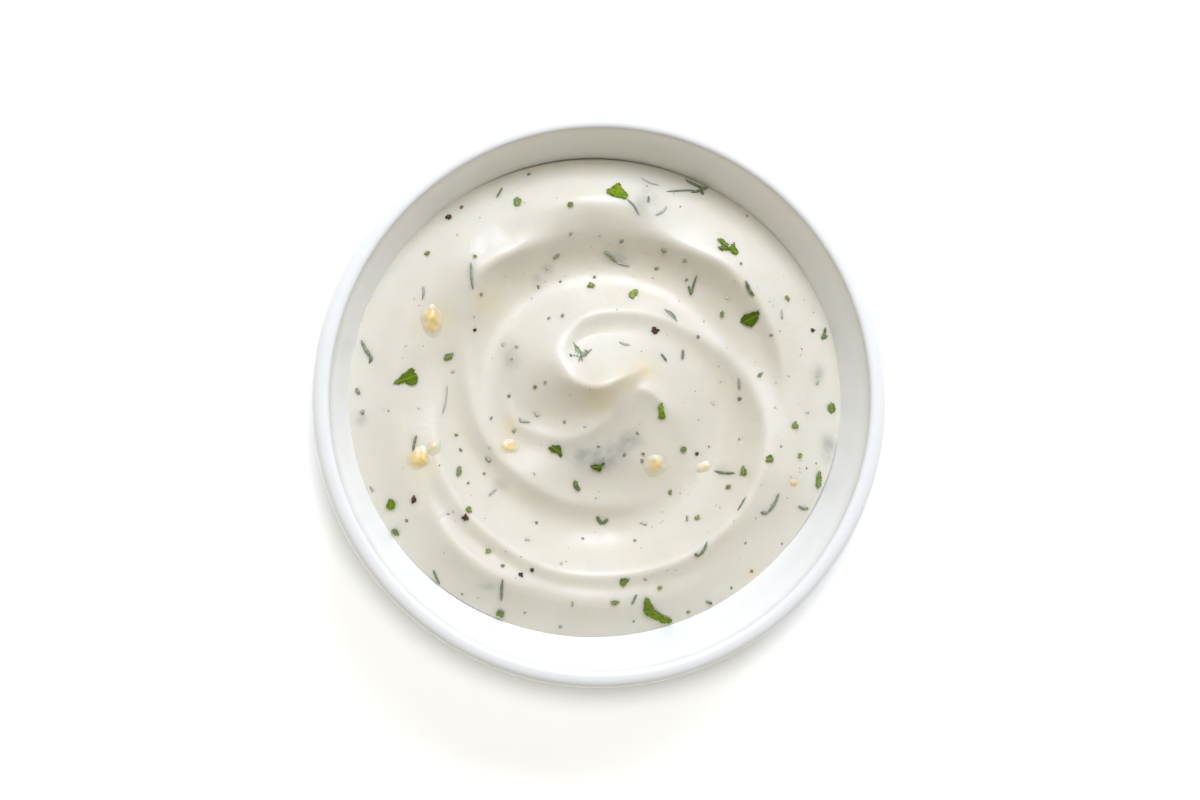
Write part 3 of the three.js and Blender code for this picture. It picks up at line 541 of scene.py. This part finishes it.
def set_attribute(piece, name, values):
    attribute = piece.data.attributes.new(name, "FLOAT", "POINT")
    attribute.data.foreach_set("value", np.asarray(values, np.float32))


def spots(points, places):
    """A value for each point that is high near the places, which are x, y, two sizes and a strength."""
    x, y = points[:, 0], points[:, 1]
    left = np.ones(len(points))
    for place_x, place_y, size_x, size_y, strength in places:
        left *= 1 - strength * bell(np.hypot((x - place_x) / size_x, (y - place_y) / size_y), 1)
    return 1 - left


def hollows(points):
    """How far each point lies below the dressing around it, from 0 on open ground to 1 in a crease, which
    sets the painted crease shade.
    """
    flat = points[:, :2]
    around = [top_at(flat + step) for step in ring(even_turns(HOLLOW_DIRECTIONS), HOLLOW_REACH)]
    fade = np.clip((HOLLOW_END - np.hypot(*flat.T)) / HOLLOW_REACH, 0, 1)
    return np.clip((np.mean(around, axis=0) - top_at(flat)) / HOLLOW_DEPTH, 0, 1) * fade


def make_dressing():
    rings = [np.zeros((1, 2))]
    for k in range(1, SURFACE_RINGS + 1):
        turns = even_turns(RING_GROWTH * k)
        rings.append(ring(turns, k / SURFACE_RINGS * dressing_edge_radius(turns)))
    counts = [len(flat) for flat in rings]
    top = np.vstack(rings)
    points = [np.column_stack([top, surface_height(top[:, 0], top[:, 1])])]
    for radius, z in inside_outline(SURFACE_LEVEL - EDGE_DROP_ENDS - EDGE_SKIRT, BOWL_GAP):
        count = LOWER_SIDES if radius > 0 else 1
        flat = ring(even_turns(count), radius)
        points.append(np.column_stack([flat, np.full(count, z)]))
        counts.append(count)
    starts = np.concatenate([[0], np.cumsum(counts)])
    faces = []
    for a, b, a_count, b_count in zip(starts, starts[1:], counts, counts[1:]):
        faces += stitch(int(a), a_count, int(b), b_count)
    points = np.vstack(points)
    dressing = make_piece("dressing_swirl", points, faces)
    x, y, _ = points.T
    inset = dressing_edge_radius(np.arctan2(y, x)) - np.hypot(x, y)
    beside_garlic = spots(points, [
        (place_x, place_y, 0.7 * length, 0.7 * length, 1) for place_x, place_y, length, *_ in GARLIC
    ])
    set_attribute(dressing, "glow", np.clip(inset / GLOW_INSET, 0, 1) * (1 - beside_garlic))
    set_attribute(dressing, "sunk_herb", spots(points, SUNK_HERBS))
    tinges = [(*place, size, size, strength) for *place, size, strength in YELLOW_TINGES]
    set_attribute(dressing, "yellow_tinge", spots(points, tinges))
    # Painted shade for the creases.
    set_attribute(dressing, "painted_crease_shade", hollows(points))
    dressing.data.set_sharp_from_angle(angle=math.radians(SHARP_ANGLE))
    dressing.data.materials.append(dressing_material())
    return dressing


# ---- Toppings

class Heap:
    """Many small solids that make one piece, with a value of each kind for every point."""

    def __init__(self):
        self.points = []
        self.faces = []
        self.values = {}

    def add(self, points, faces, **values):
        start = len(self.points)
        self.points += [tuple(point) for point in points]
        self.faces += [tuple(start + int(i) for i in face) for face in faces]
        for name, value in values.items():
            self.values.setdefault(name, []).extend(np.broadcast_to(value, len(points)).tolist())

    def make(self, name, material):
        piece = make_piece(name, self.points, self.faces)
        for value_name, values in self.values.items():
            set_attribute(piece, value_name, values)
        piece.data.materials.append(material)
        return piece


def turned_about(points, x, y, angle):
    """Points given along and across an axis, turned by an angle in degrees and moved to (x, y)."""
    turn = math.radians(angle)
    points = np.asarray(points, float)
    along, across = points[:, 0], points[:, 1]
    return np.column_stack([
        x + along * math.cos(turn) - across * math.sin(turn),
        y + along * math.sin(turn) + across * math.cos(turn),
    ])


def torn_edge(outline, random):
    """The outline with softened corners, even steps and a finely torn edge."""
    corners = np.array(outline, float)
    following = np.roll(corners, -1, axis=0)
    far, near = 1 - CORNER_SOFTNESS, CORNER_SOFTNESS
    soft = np.stack([far * corners + near * following, near * corners + far * following], axis=1)
    soft = soft.reshape(-1, 2)
    closed = np.vstack([soft, soft[:1]])
    lengths = np.hypot(*np.diff(closed, axis=0).T)
    reach = np.concatenate([[0], np.cumsum(lengths)])
    count = max(8, int(reach[-1] / (0.6 * LEAF_SPACING)))
    steps = np.linspace(0, reach[-1], count, endpoint=False)
    edge = np.column_stack([np.interp(steps, reach, closed[:, axis]) for axis in (0, 1)])
    return edge + random.normal(0, TORN_TOOTH, edge.shape)


def is_inside(point, outline):
    """Whether a point lies within an outline, by counting the edges to its right."""
    inside = False
    x, y = point
    for (ax, ay), (bx, by) in zip(outline, np.roll(outline, -1, axis=0)):
        if (ay > y) != (by > y) and x < ax + (y - ay) * (bx - ax) / (by - ay):
            inside = not inside
    return inside


def filled_outline(edge):
    """Points and triangles of a flat shape: its edge and an even net of points within it."""
    bounds = zip(edge.min(axis=0), edge.max(axis=0))
    columns, rows = (np.arange(low, high, LEAF_SPACING) for low, high in bounds)
    net = [(x, y) for x in columns for y in rows if is_inside((x, y), edge)]
    net = [point for point in net if np.hypot(*(edge - point).T).min() > 0.45 * LEAF_SPACING]
    points = [Vector(point) for point in edge.tolist() + net]
    sides = [(i, (i + 1) % len(edge)) for i in range(len(edge))]
    result = delaunay_2d_cdt(points, sides, [], 1, 1e-6)
    return np.array([tuple(point) for point in result[0]]), result[2]


def rim_steps(triangles):
    """The edges that only one triangle has, in the direction in which it has them."""
    steps = {(t[i], t[(i + 1) % 3]) for t in triangles for i in range(3)}
    return [step for step in steps if step[::-1] not in steps]


def add_leaf(heap, outline, shade, cover, random):
    """A thin wavy piece of leaf lying on the dressing, veined along its length."""
    flat, triangles = filled_outline(torn_edge(outline, random))
    middle = flat.mean(axis=0)
    axis = np.linalg.svd(flat - middle)[2][0]
    along = (flat - middle) @ axis
    across = (flat - middle) @ np.array([-axis[1], axis[0]])
    half_width = max(np.abs(across).max(), 0.1)
    wave = sum(
        height * np.sin(rate * place + random.uniform(0, 6))
        for (height, rate), place in zip(LEAF_WAVES, (along, across))
    )
    curl = LEAF_CURL * (across / half_width) ** 2 * random.uniform(0.3, 1)
    midrib = MIDRIB_DEPTH * bell(across, MIDRIB_WIDTH)
    top = top_at(flat) + FLAKE_THICKNESS + np.clip(FLAKE_LIFT + wave + curl - midrib, -0.1, None)
    count = len(flat)
    points = np.vstack([np.column_stack([flat, top]), np.column_stack([flat, top - FLAKE_THICKNESS])])
    faces = list(triangles) + [tuple(i + count for i in t[::-1]) for t in triangles]
    faces += [(b, a, a + count, b + count) for a, b in rim_steps(triangles)]
    values = {"leaf_along": np.tile(along, 2), "leaf_across": np.tile(across, 2)}
    heap.add(points, faces, leaf_shade=shade, herb_cover=cover, **values)


def leaf_bit_outline(length, width):
    """A small torn piece: rounded at one end and pointed at the other."""
    half = length / 2
    return [
        (-half, -0.1 * width), (-0.6 * half, -0.5 * width), (0.3 * half, -0.45 * width),
        (half, 0.1 * width), (0.1 * half, 0.5 * width), (-0.7 * half, 0.4 * width),
    ]


def make_parsley():
    random = np.random.default_rng(SEED)
    heap = Heap()
    for shade, outline in PARSLEY_LEAVES:
        add_leaf(heap, outline, shade, 0, random)
    for x, y, length, width, angle, shade in PARSLEY_BITS:
        outline = turned_about(leaf_bit_outline(length, width), x, y, angle)
        add_leaf(heap, outline, shade, BIT_COVER * random.uniform(0.4, 1), random)
    return heap.make("parsley_flakes", parsley_material())


def add_thread(heap, width, cover, points, random, fresh=0):
    """A dill thread: round, bent a little, tapering at its ends, and sunk by its cover."""
    bent = np.array(points, float)
    if len(bent) == 2:
        shift = random.normal(0, THREAD_BEND, 2) * np.hypot(*(bent[1] - bent[0]))
        bent = np.insert(bent, 1, bent.mean(axis=0) + shift, axis=0)
    line = smooth_line(bent, THREAD_STEPS)
    share = np.linspace(-1, 1, len(line))
    taper = np.clip(1.05 - np.abs(share) ** 5, 0.15, 1)
    radius = width / 2 * taper * (1 + 0.12 * np.sin(9 * share + random.uniform(0, 6)))
    heading = np.gradient(line, axis=0)
    heading /= np.hypot(heading[:, 0], heading[:, 1])[:, None]
    middle = top_at(line) + width / 2 * (0.75 - 1.15 * cover)
    rings = []
    for k in range(THREAD_SIDES):
        turn = 2 * math.pi * k / THREAD_SIDES
        side = radius * math.cos(turn)
        rings.append(np.column_stack([
            line[:, 0] - heading[:, 1] * side,
            line[:, 1] + heading[:, 0] * side,
            middle + radius * math.sin(turn),
        ]))
    points = np.stack(rings, axis=1).reshape(-1, 3)
    faces = []
    for row in range(len(line) - 1):
        for k in range(THREAD_SIDES):
            a, b = row * THREAD_SIDES + k, row * THREAD_SIDES + (k + 1) % THREAD_SIDES
            faces.append((a, a + THREAD_SIDES, b + THREAD_SIDES, b))
    last = (len(line) - 1) * THREAD_SIDES
    faces.append(tuple(range(THREAD_SIDES)))
    faces.append(tuple(last + k for k in reversed(range(THREAD_SIDES))))
    heap.add(points, faces, herb_cover=cover, herb_fresh=fresh)


def add_frond(heap, x, y, angle, length, threads, random):
    """A lacy piece of dill: a bent stem with fine threads that branch off it."""
    stem = turned_about([(0, 0), (0.5 * length, 0.12 * length), (length, 0)], x, y, angle)
    add_thread(heap, STEM_WIDTH, 0.1, stem, random, 0.5)
    for _ in range(threads):
        reach = random.uniform(0.2, 1) * length
        side = random.choice([-1, 1])
        size = random.uniform(0.5, 1.1)
        root = (reach, 0.25 * length * reach / length * (1 - reach / length))
        onwards = 0.8 * size * random.uniform(0.2, 1)
        outwards = side * size * random.uniform(0.3, 0.8)
        branch = turned_about([root, (root[0] + onwards, root[1] + outwards)], x, y, angle)
        width = random.uniform(*FROND_THREAD_WIDTHS)
        add_thread(heap, width, random.uniform(0, 0.5), branch, random, 1)


def make_dill():
    random = np.random.default_rng(SEED)
    heap = Heap()
    for width, cover, points in DILL_THREADS:
        add_thread(heap, width, cover, points, random)
    for x, y, angle, length, threads in DILL_FRONDS:
        add_frond(heap, x, y, angle, length, threads, random)
    return heap.make("dill_threads", dill_material())


def ball(subdivisions):
    """Points and triangles of a ball with a radius of 1."""
    mesh = bmesh.new()
    bmesh.ops.create_icosphere(mesh, subdivisions=subdivisions, radius=1)
    points = np.array([tuple(vertex.co) for vertex in mesh.verts])
    faces = [tuple(vertex.index for vertex in face.verts) for face in mesh.faces]
    mesh.free()
    return points, faces


def lumpy(points, amount, scale, seed):
    """The ball's points moved in and out, so that it gets an uneven surface."""
    offset = Vector((seed, 2 * seed, 3 * seed))
    swell = [1 + amount * noise.noise(Vector(point) * scale + offset) for point in points]
    return points * np.array(swell)[:, None]


def add_lump(heap, shape, x, y, size, angle, rise, values):
    """A lump of the given size along, across and up, whose top stands out of the dressing by rise."""
    points, faces = shape
    scaled = points * np.array(size) / 2
    flat = turned_about(scaled[:, :2], x, y, angle)
    base = top_at([(x, y)])[0]
    heap.add(np.column_stack([flat, scaled[:, 2] + base + rise - size[2] / 2]), faces, **values)


def make_garlic():
    heap = Heap()
    points, faces = ball(5)
    reach = np.clip(1 - points[:, 0] ** 2 - points[:, 1] ** 2, 0, 1)
    for k, (x, y, length, width, angle, rise, yellow) in enumerate(GARLIC):
        outline = lumpy(points, 0.35, 0.9, k + 1)[:, :2] * (length / 2, width / 2)
        flat = turned_about(outline, x, y, angle)
        dented = np.array([noise.noise(Vector((*place, k)) * 0.9) for place in flat])
        dome = rise * reach ** GARLIC_SLOPE * (1 + 0.5 * dented) - SKIRT_DEPTH
        root = -SKIRT_DEPTH - 0.4 * width * np.sqrt(reach)
        height = top_at(flat) + np.where(points[:, 2] > 0, dome, root)
        heap.add(np.column_stack([flat, height]), faces, garlic_bare=yellow * reach)
    return heap.make("garlic_lumps", garlic_material())


def make_pepper():
    heap = Heap()
    points, faces = ball(3)
    for k, (x, y, size) in enumerate(PEPPER):
        shape = lumpy(points, 0.9, 1.3, k + 5), faces
        add_lump(heap, shape, x, y, (size, 0.9 * size, 0.8 * size), 40 * k, 0.45 * size, {"grain": 0.1 * k})
    return heap.make("pepper_grains", pepper_material())


def make_specks():
    """Fine bits of herb: the larger ones placed, the finest scattered."""
    random = np.random.default_rng(SEED)
    heap = Heap()
    points, faces = ball(2)
    specks = list(SPECKS)
    for _ in range(FINE_SPECKS):
        turn = random.uniform(0, 2 * math.pi)
        radius = FINE_SPECK_REACH * math.sqrt(random.uniform(0, 1))
        size = random.uniform(*FINE_SPECK_SIZES)
        specks.append((radius * math.cos(turn), radius * math.sin(turn), size, random.uniform(0.1, 0.6)))
    for k, (x, y, size, cover) in enumerate(specks):
        shape = lumpy(points, 0.8, 1.2, 3 * k), faces
        across, height = size * random.uniform(0.6, 0.9), 0.5 * size
        rise = height * (0.7 - 0.8 * cover)
        values = {"herb_cover": cover, "herb_tone": random.uniform(0, 1)}
        add_lump(heap, shape, x, y, (size, across, height), random.uniform(0, 180), rise, values)
    return heap.make("herb_specks", speck_material())


# ---- Materials

class Shader:
    """A new material with short ways to add nodes to it."""

    def __init__(self, name):
        self.material = bpy.data.materials.new(name)
        self.material.use_nodes = True
        self.nodes = self.material.node_tree.nodes
        self.links = self.material.node_tree.links
        self.surface = self.nodes["Principled BSDF"]

    def set(self, name, value):
        self.surface.inputs[name].default_value = value

    def connect(self, output, socket):
        self.links.new(output, socket)

    def to_surface(self, output, name):
        self.links.new(output, self.surface.inputs[name])

    def value(self, name):
        """The mesh's own value of that name."""
        node = self.nodes.new("ShaderNodeAttribute")
        node.attribute_name = name
        return node.outputs["Fac"]

    def height(self):
        """Height above the table (m)."""
        place = self.nodes.new("ShaderNodeTexCoord")
        split = self.nodes.new("ShaderNodeSeparateXYZ")
        self.connect(place.outputs["Object"], split.inputs[0])
        return split.outputs["Z"]

    def noise(self, size, detail=3, roughness=0.5):
        """Cloudy noise whose patches measure about size (mm)."""
        place = self.nodes.new("ShaderNodeTexCoord")
        node = self.nodes.new("ShaderNodeTexNoise")
        node.inputs["Scale"].default_value = 1 / (size * MM)
        node.inputs["Detail"].default_value = detail
        node.inputs["Roughness"].default_value = roughness
        self.connect(place.outputs["Object"], node.inputs["Vector"])
        return node.outputs["Fac"]

    def math(self, operation, a, b=None):
        node = self.nodes.new("ShaderNodeMath")
        node.operation = operation
        for socket, value in zip(node.inputs, (a, b)):
            if isinstance(value, (int, float)):
                socket.default_value = value
            elif value is not None:
                self.connect(value, socket)
        return node.outputs["Value"]

    def spread(self, value, start, end, low=0, high=1):
        """The value's range from start to end made into low to high, and no further."""
        node = self.nodes.new("ShaderNodeMapRange")
        node.interpolation_type = "SMOOTHSTEP"
        for name, number in zip(("From Min", "From Max", "To Min", "To Max"), (start, end, low, high)):
            node.inputs[name].default_value = number
        self.connect(value, node.inputs["Value"])
        return node.outputs["Result"]

    def clouds(self, size, detail=3, start=0.3, end=0.7, low=0, high=1):
        """Noise whose range from start to end is made into low to high."""
        return self.spread(self.noise(size, detail), start, end, low, high)

    def roughen(self, size, low, high):
        """Roughness that varies cloudily between low and high."""
        self.to_surface(self.clouds(size, low=low, high=high), "Roughness")

    def ripple(self, coarse, fine, share):
        """Coarse noise with a share of fine noise over it; each is a size (mm) and a detail."""
        return self.math("ADD", self.noise(*coarse), self.math("MULTIPLY", self.noise(*fine), share))

    def mix(self, share, a, b):
        """From colour a to colour b; each is a colour or another node's output."""
        node = self.nodes.new("ShaderNodeMix")
        node.data_type = "RGBA"
        colours = [socket for socket in node.inputs if socket.type == "RGBA"]
        for socket, colour in zip(colours, (a, b)):
            if isinstance(colour, tuple):
                socket.default_value = (*colour, 1)
            else:
                self.connect(colour, socket)
        self.connect(share, node.inputs[0])
        return next(socket for socket in node.outputs if socket.type == "RGBA")

    def bump(self, height, depth):
        """Fine relief, depth (mm) deep."""
        node = self.nodes.new("ShaderNodeBump")
        node.inputs["Distance"].default_value = depth * MM
        self.connect(height, node.inputs["Height"])
        self.to_surface(node.outputs["Normal"], "Normal")


def porcelain_material():
    """White glaze: faintly clouded, paler near the top as painted light, darker on the lip as painted
    shade, with the soft ripple of a fired surface.
    """
    glaze = Shader("porcelain_glaze")
    height = glaze.height()
    cloud = glaze.clouds(9, 2)
    colour = glaze.mix(cloud, (0.86, 0.864, 0.846), (0.875, 0.879, 0.861))
    # Painted light: a paler band over the top 7 mm of the bowl.
    painted_light_band = glaze.spread(height, (BOWL_HEIGHT - 7) * MM, (BOWL_HEIGHT - 1.2) * MM)
    colour = glaze.mix(painted_light_band, colour, (0.918, 0.924, 0.908))
    # Painted shade: the top of the lip is darker.
    lip = glaze.spread(height, (BOWL_HEIGHT - 1.6) * MM, (BOWL_HEIGHT - 0.4) * MM)
    glaze.to_surface(glaze.mix(lip, colour, (0.80, 0.80, 0.782)), "Base Color")
    glaze.roughen(3, 0.3, 0.38)
    glaze.set("Specular IOR Level", 0.3)
    glaze.bump(glaze.ripple((7, 1), (0.6, 1), 0.04), 0.12)
    return glaze.material


def dressing_material():
    """Cream that glows a little, with painted warm shade in its creases, tinged by what lies under its
    surface.
    """
    cream = Shader("ranch_dressing")
    cloud = cream.clouds(5, 4)
    colour = cream.mix(cloud, (0.703, 0.669, 0.577), (0.722, 0.69, 0.6))
    # Painted shade: warmer, darker cream in the creases.
    colour = cream.mix(cream.value("painted_crease_shade"), colour, (0.74, 0.66, 0.51))
    colour = cream.mix(cream.value("yellow_tinge"), colour, (0.83, 0.66, 0.33))
    patchy = cream.clouds(1.6, 3, 0.3, 0.65, 0.45, 1)
    blotch = cream.math("MULTIPLY", cream.value("sunk_herb"), patchy)
    colour = cream.mix(blotch, colour, (0.30, 0.31, 0.27))
    cream.to_surface(colour, "Base Color")
    cream.roughen(2.5, 0.34, 0.46)
    cream.bump(cream.ripple((1.6, 3), (0.35, 2), 0.12), 0.035)
    cream.set("Subsurface Weight", 1.0)
    cream.set("Subsurface Radius", (1.0, 0.85, 0.62))
    cream.to_surface(cream.math("MULTIPLY", cream.value("glow"), GLOW_DEPTH), "Subsurface Scale")
    return cream.material


def under_dressing(shader, colour, cover, thickest):
    """The colour as it shows through its cover of dressing."""
    return shader.mix(shader.math("MULTIPLY", cover, thickest), colour, (0.66, 0.65, 0.58))


def parsley_material():
    """Leaf green, mottled, with a pale midrib and side veins that slant off it."""
    leaf = Shader("parsley_leaf")
    across = leaf.math("ABSOLUTE", leaf.value("leaf_across"))
    shaded = leaf.mix(leaf.value("leaf_shade"), (0.05, 0.085, 0.003), (0.27, 0.38, 0.012))
    mottled = leaf.mix(leaf.clouds(0.5, 4, 0.35), shaded, (0.10, 0.17, 0.008))
    slant = leaf.math("ADD", leaf.value("leaf_along"), leaf.math("MULTIPLY", across, -1.1))
    stripes = leaf.math("ABSOLUTE", leaf.math("SINE", leaf.math("MULTIPLY", slant, 6.5)))
    side_veins = leaf.spread(stripes, 0.2, 0, 0, 0.45)
    midrib = leaf.spread(across, 0.11, 0.03, 0, 0.6)
    veins = leaf.math("MAXIMUM", side_veins, midrib)
    veined = leaf.mix(veins, mottled, (0.28, 0.37, 0.045))
    leaf.to_surface(under_dressing(leaf, veined, leaf.value("herb_cover"), 1), "Base Color")
    leaf.roughen(0.4, 0.38, 0.55)
    leaf.bump(leaf.math("SUBTRACT", leaf.noise(0.25, 3), leaf.math("MULTIPLY", veins, 0.8)), 0.05)
    leaf.set("Specular IOR Level", 0.15)
    return leaf.material


def dill_material():
    """Grey-green threads, mottled, paler where dressing covers them."""
    dill = Shader("dill_thread")
    mottling = dill.clouds(0.35, 4, 0.35, 0.65)
    green = dill.mix(mottling, (0.10, 0.135, 0.055), (0.23, 0.28, 0.13))
    green = dill.mix(dill.value("herb_fresh"), green, (0.20, 0.27, 0.07))
    dill.to_surface(under_dressing(dill, green, dill.value("herb_cover"), 1.1), "Base Color")
    dill.roughen(0.3, 0.4, 0.6)
    dill.bump(dill.noise(0.15, 2), 0.03)
    return dill.material


def speck_material():
    """Fine herb: from green to grey-brown."""
    speck = Shader("herb_speck")
    tone = speck.spread(speck.value("herb_tone"), 0.25, 0.85)
    kind = speck.mix(tone, (0.20, 0.25, 0.06), (0.22, 0.17, 0.12))
    mottled = speck.mix(speck.clouds(0.15, 3, 0.4, 0.65, 0, 0.5), kind, (0.09, 0.10, 0.045))
    speck.to_surface(under_dressing(speck, mottled, speck.value("herb_cover"), 1.45), "Base Color")
    speck.roughen(0.2, 0.45, 0.65)
    speck.bump(speck.noise(0.1, 2), 0.03)
    return speck.material


def pepper_material():
    """Cracked pepper: wrinkled dark skin with paler broken spots."""
    pepper = Shader("cracked_pepper")
    patches = pepper.clouds(0.3, 3, 0.5)
    shell = pepper.mix(pepper.value("grain"), (0.07, 0.032, 0.018), (0.075, 0.055, 0.025))
    pepper.to_surface(pepper.mix(patches, shell, (0.19, 0.09, 0.04)), "Base Color")
    pepper.roughen(0.2, 0.5, 0.75)
    pepper.bump(pepper.noise(0.16, 3), 0.08)
    return pepper.material


def garlic_material():
    """Moist yellow garlic; the dressing that climbs over its sides hides it little by little."""
    garlic = Shader("garlic")
    flesh = garlic.mix(garlic.clouds(0.9), (0.74, 0.57, 0.23), (0.79, 0.67, 0.38))
    bare = garlic.spread(garlic.value("garlic_bare"), 0.1, 0.85)
    garlic.to_surface(garlic.mix(bare, (0.712, 0.68, 0.589), flesh), "Base Color")
    garlic.roughen(0.5, 0.32, 0.46)
    garlic.set("Subsurface Weight", 1.0)
    garlic.set("Subsurface Radius", (1.0, 0.75, 0.42))
    depth = garlic.math("MULTIPLY", garlic.value("garlic_bare"), 0.5 * GLOW_DEPTH)
    garlic.to_surface(depth, "Subsurface Scale")
    garlic.bump(garlic.ripple((0.7, 3), (0.2, 2), 0.2), 0.025)
    return garlic.material


def table_material():
    """A white table with painted light: it glows more with distance from the bowl, so the bowl's shadow
    stays short.
    """
    table = Shader("white_table")
    grain = table.clouds(2.5)
    table.to_surface(table.mix(grain, (0.72, 0.735, 0.755), (0.73, 0.745, 0.765)), "Base Color")
    table.set("Roughness", 0.8)
    table.set("Emission Color", (1, 1, 1, 1))
    place = table.nodes.new("ShaderNodeNewGeometry")
    distance = table.nodes.new("ShaderNodeVectorMath")
    distance.operation = "DISTANCE"
    distance.inputs[1].default_value = (TABLE_GLOW_CENTRE[0] * MM, TABLE_GLOW_CENTRE[1] * MM, 0)
    table.connect(place.outputs["Position"], distance.inputs[0])
    start, end = TABLE_GLOW_START * MM, TABLE_GLOW_END * MM
    glow = table.spread(distance.outputs["Value"], start, end, TABLE_GLOW_NEAR, TABLE_GLOW_FAR)
    table.to_surface(glow, "Emission Strength")
    return table.material


# ---- Table, camera and light

TABLE_HALF = 2000
# Painted light on the table: its glow grows from TABLE_GLOW_NEAR to TABLE_GLOW_FAR between these distances
# (mm) from this centre.
TABLE_GLOW_CENTRE = (4, -1)
TABLE_GLOW_START = 44
TABLE_GLOW_END = 52
TABLE_GLOW_NEAR = 0
TABLE_GLOW_FAR = 0.6
CAMERA_DISTANCE = 700
CAMERA_LEAN = (-0.098, 0.018)
CAMERA_TARGET = (-0.25, 0)
PHOTO_SIZE = (1200, 800)
RIM_PIXELS = 289
SENSOR_WIDTH = 36
WINDOW_LIGHT = {
    "azimuth": 80, "elevation": 55, "distance": 900, "size": 460, "power": 8.1, "colour": (0.93, 1.0, 1.19),
}
SKY_LOW = 0.5
SKY_HIGH = 0.36
SKY_COLOUR = (1.08, 1.01, 0.82)
TONE_GAMMA = 0.88


def make_camera():
    """The camera stands nearly overhead, a little to the left, with the swirl's far side at the top."""
    target = Vector((*CAMERA_TARGET, BOWL_HEIGHT))
    back = Vector((*CAMERA_LEAN, 1)).normalized()
    right = Vector((0, 1, 0)).cross(back).normalized()
    up = back.cross(right)
    data = bpy.data.cameras.new("camera")
    view_width = PHOTO_SIZE[0] * RIM_RADIUS / RIM_PIXELS
    data.sensor_width = SENSOR_WIDTH
    data.lens = SENSOR_WIDTH * CAMERA_DISTANCE / view_width
    data.clip_start = 0.01
    camera = bpy.data.objects.new("camera", data)
    place = (target + back * CAMERA_DISTANCE) * MM
    camera.matrix_world = Matrix.Translation(place) @ Matrix((right, up, back)).transposed().to_4x4()
    bpy.context.scene.collection.objects.link(camera)
    bpy.context.scene.camera = camera


def add_area_light(name, azimuth, elevation, distance, size, power, colour):
    """A square light that faces the bowl from a direction given in degrees, counted from +X."""
    turn, rise = math.radians(azimuth), math.radians(elevation)
    aim = Vector((math.cos(turn) * math.cos(rise), math.sin(turn) * math.cos(rise), math.sin(rise)))
    data = bpy.data.lights.new(name, "AREA")
    data.size = size * MM
    data.energy = power
    data.color = colour
    light = bpy.data.objects.new(name, data)
    light.location = (aim * distance + Vector((0, 0, BOWL_HEIGHT))) * MM
    light.rotation_euler = aim.to_track_quat("Z", "Y").to_euler()
    bpy.context.scene.collection.objects.link(light)


def set_light():
    world = bpy.data.worlds.new("studio")
    world.use_nodes = True
    nodes, links = world.node_tree.nodes, world.node_tree.links
    nodes["Background"].inputs["Color"].default_value = (*SKY_COLOUR, 1)
    place = nodes.new("ShaderNodeTexCoord")
    split = nodes.new("ShaderNodeSeparateXYZ")
    links.new(place.outputs["Generated"], split.inputs[0])
    strength = nodes.new("ShaderNodeMapRange")
    strength.inputs["To Min"].default_value = SKY_LOW
    strength.inputs["To Max"].default_value = SKY_HIGH
    links.new(split.outputs["Z"], strength.inputs["Value"])
    links.new(strength.outputs["Result"], nodes["Background"].inputs["Strength"])
    bpy.context.scene.world = world
    add_area_light("window_light", **WINDOW_LIGHT)
    bpy.context.scene.view_settings.view_transform = "Standard"
    bpy.context.scene.view_settings.gamma = TONE_GAMMA


def make_table():
    corners = [(x * TABLE_HALF, y * TABLE_HALF, 0) for x, y in ((-1, -1), (1, -1), (1, 1), (-1, 1))]
    table = make_piece("table", corners, [(0, 1, 2, 3)])
    table.data.materials.append(table_material())


# ---- The scene

TOP_GRID = height_grid()

make_camera()
set_light()
make_table()

bowl_piece = make_bowl()
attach(bowl_piece, "root")
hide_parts("bowl")

dressing_piece = make_dressing()
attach(dressing_piece, "root")
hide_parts("ranch_dressing")

for topping, slot in (
    (make_parsley(), "herbs"),
    (make_dill(), "herbs"),
    (make_specks(), "herbs"),
    (make_garlic(), "garlic"),
    (make_pepper(), "pepper"),
):
    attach(topping, "root")
    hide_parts("ranch_dressing")
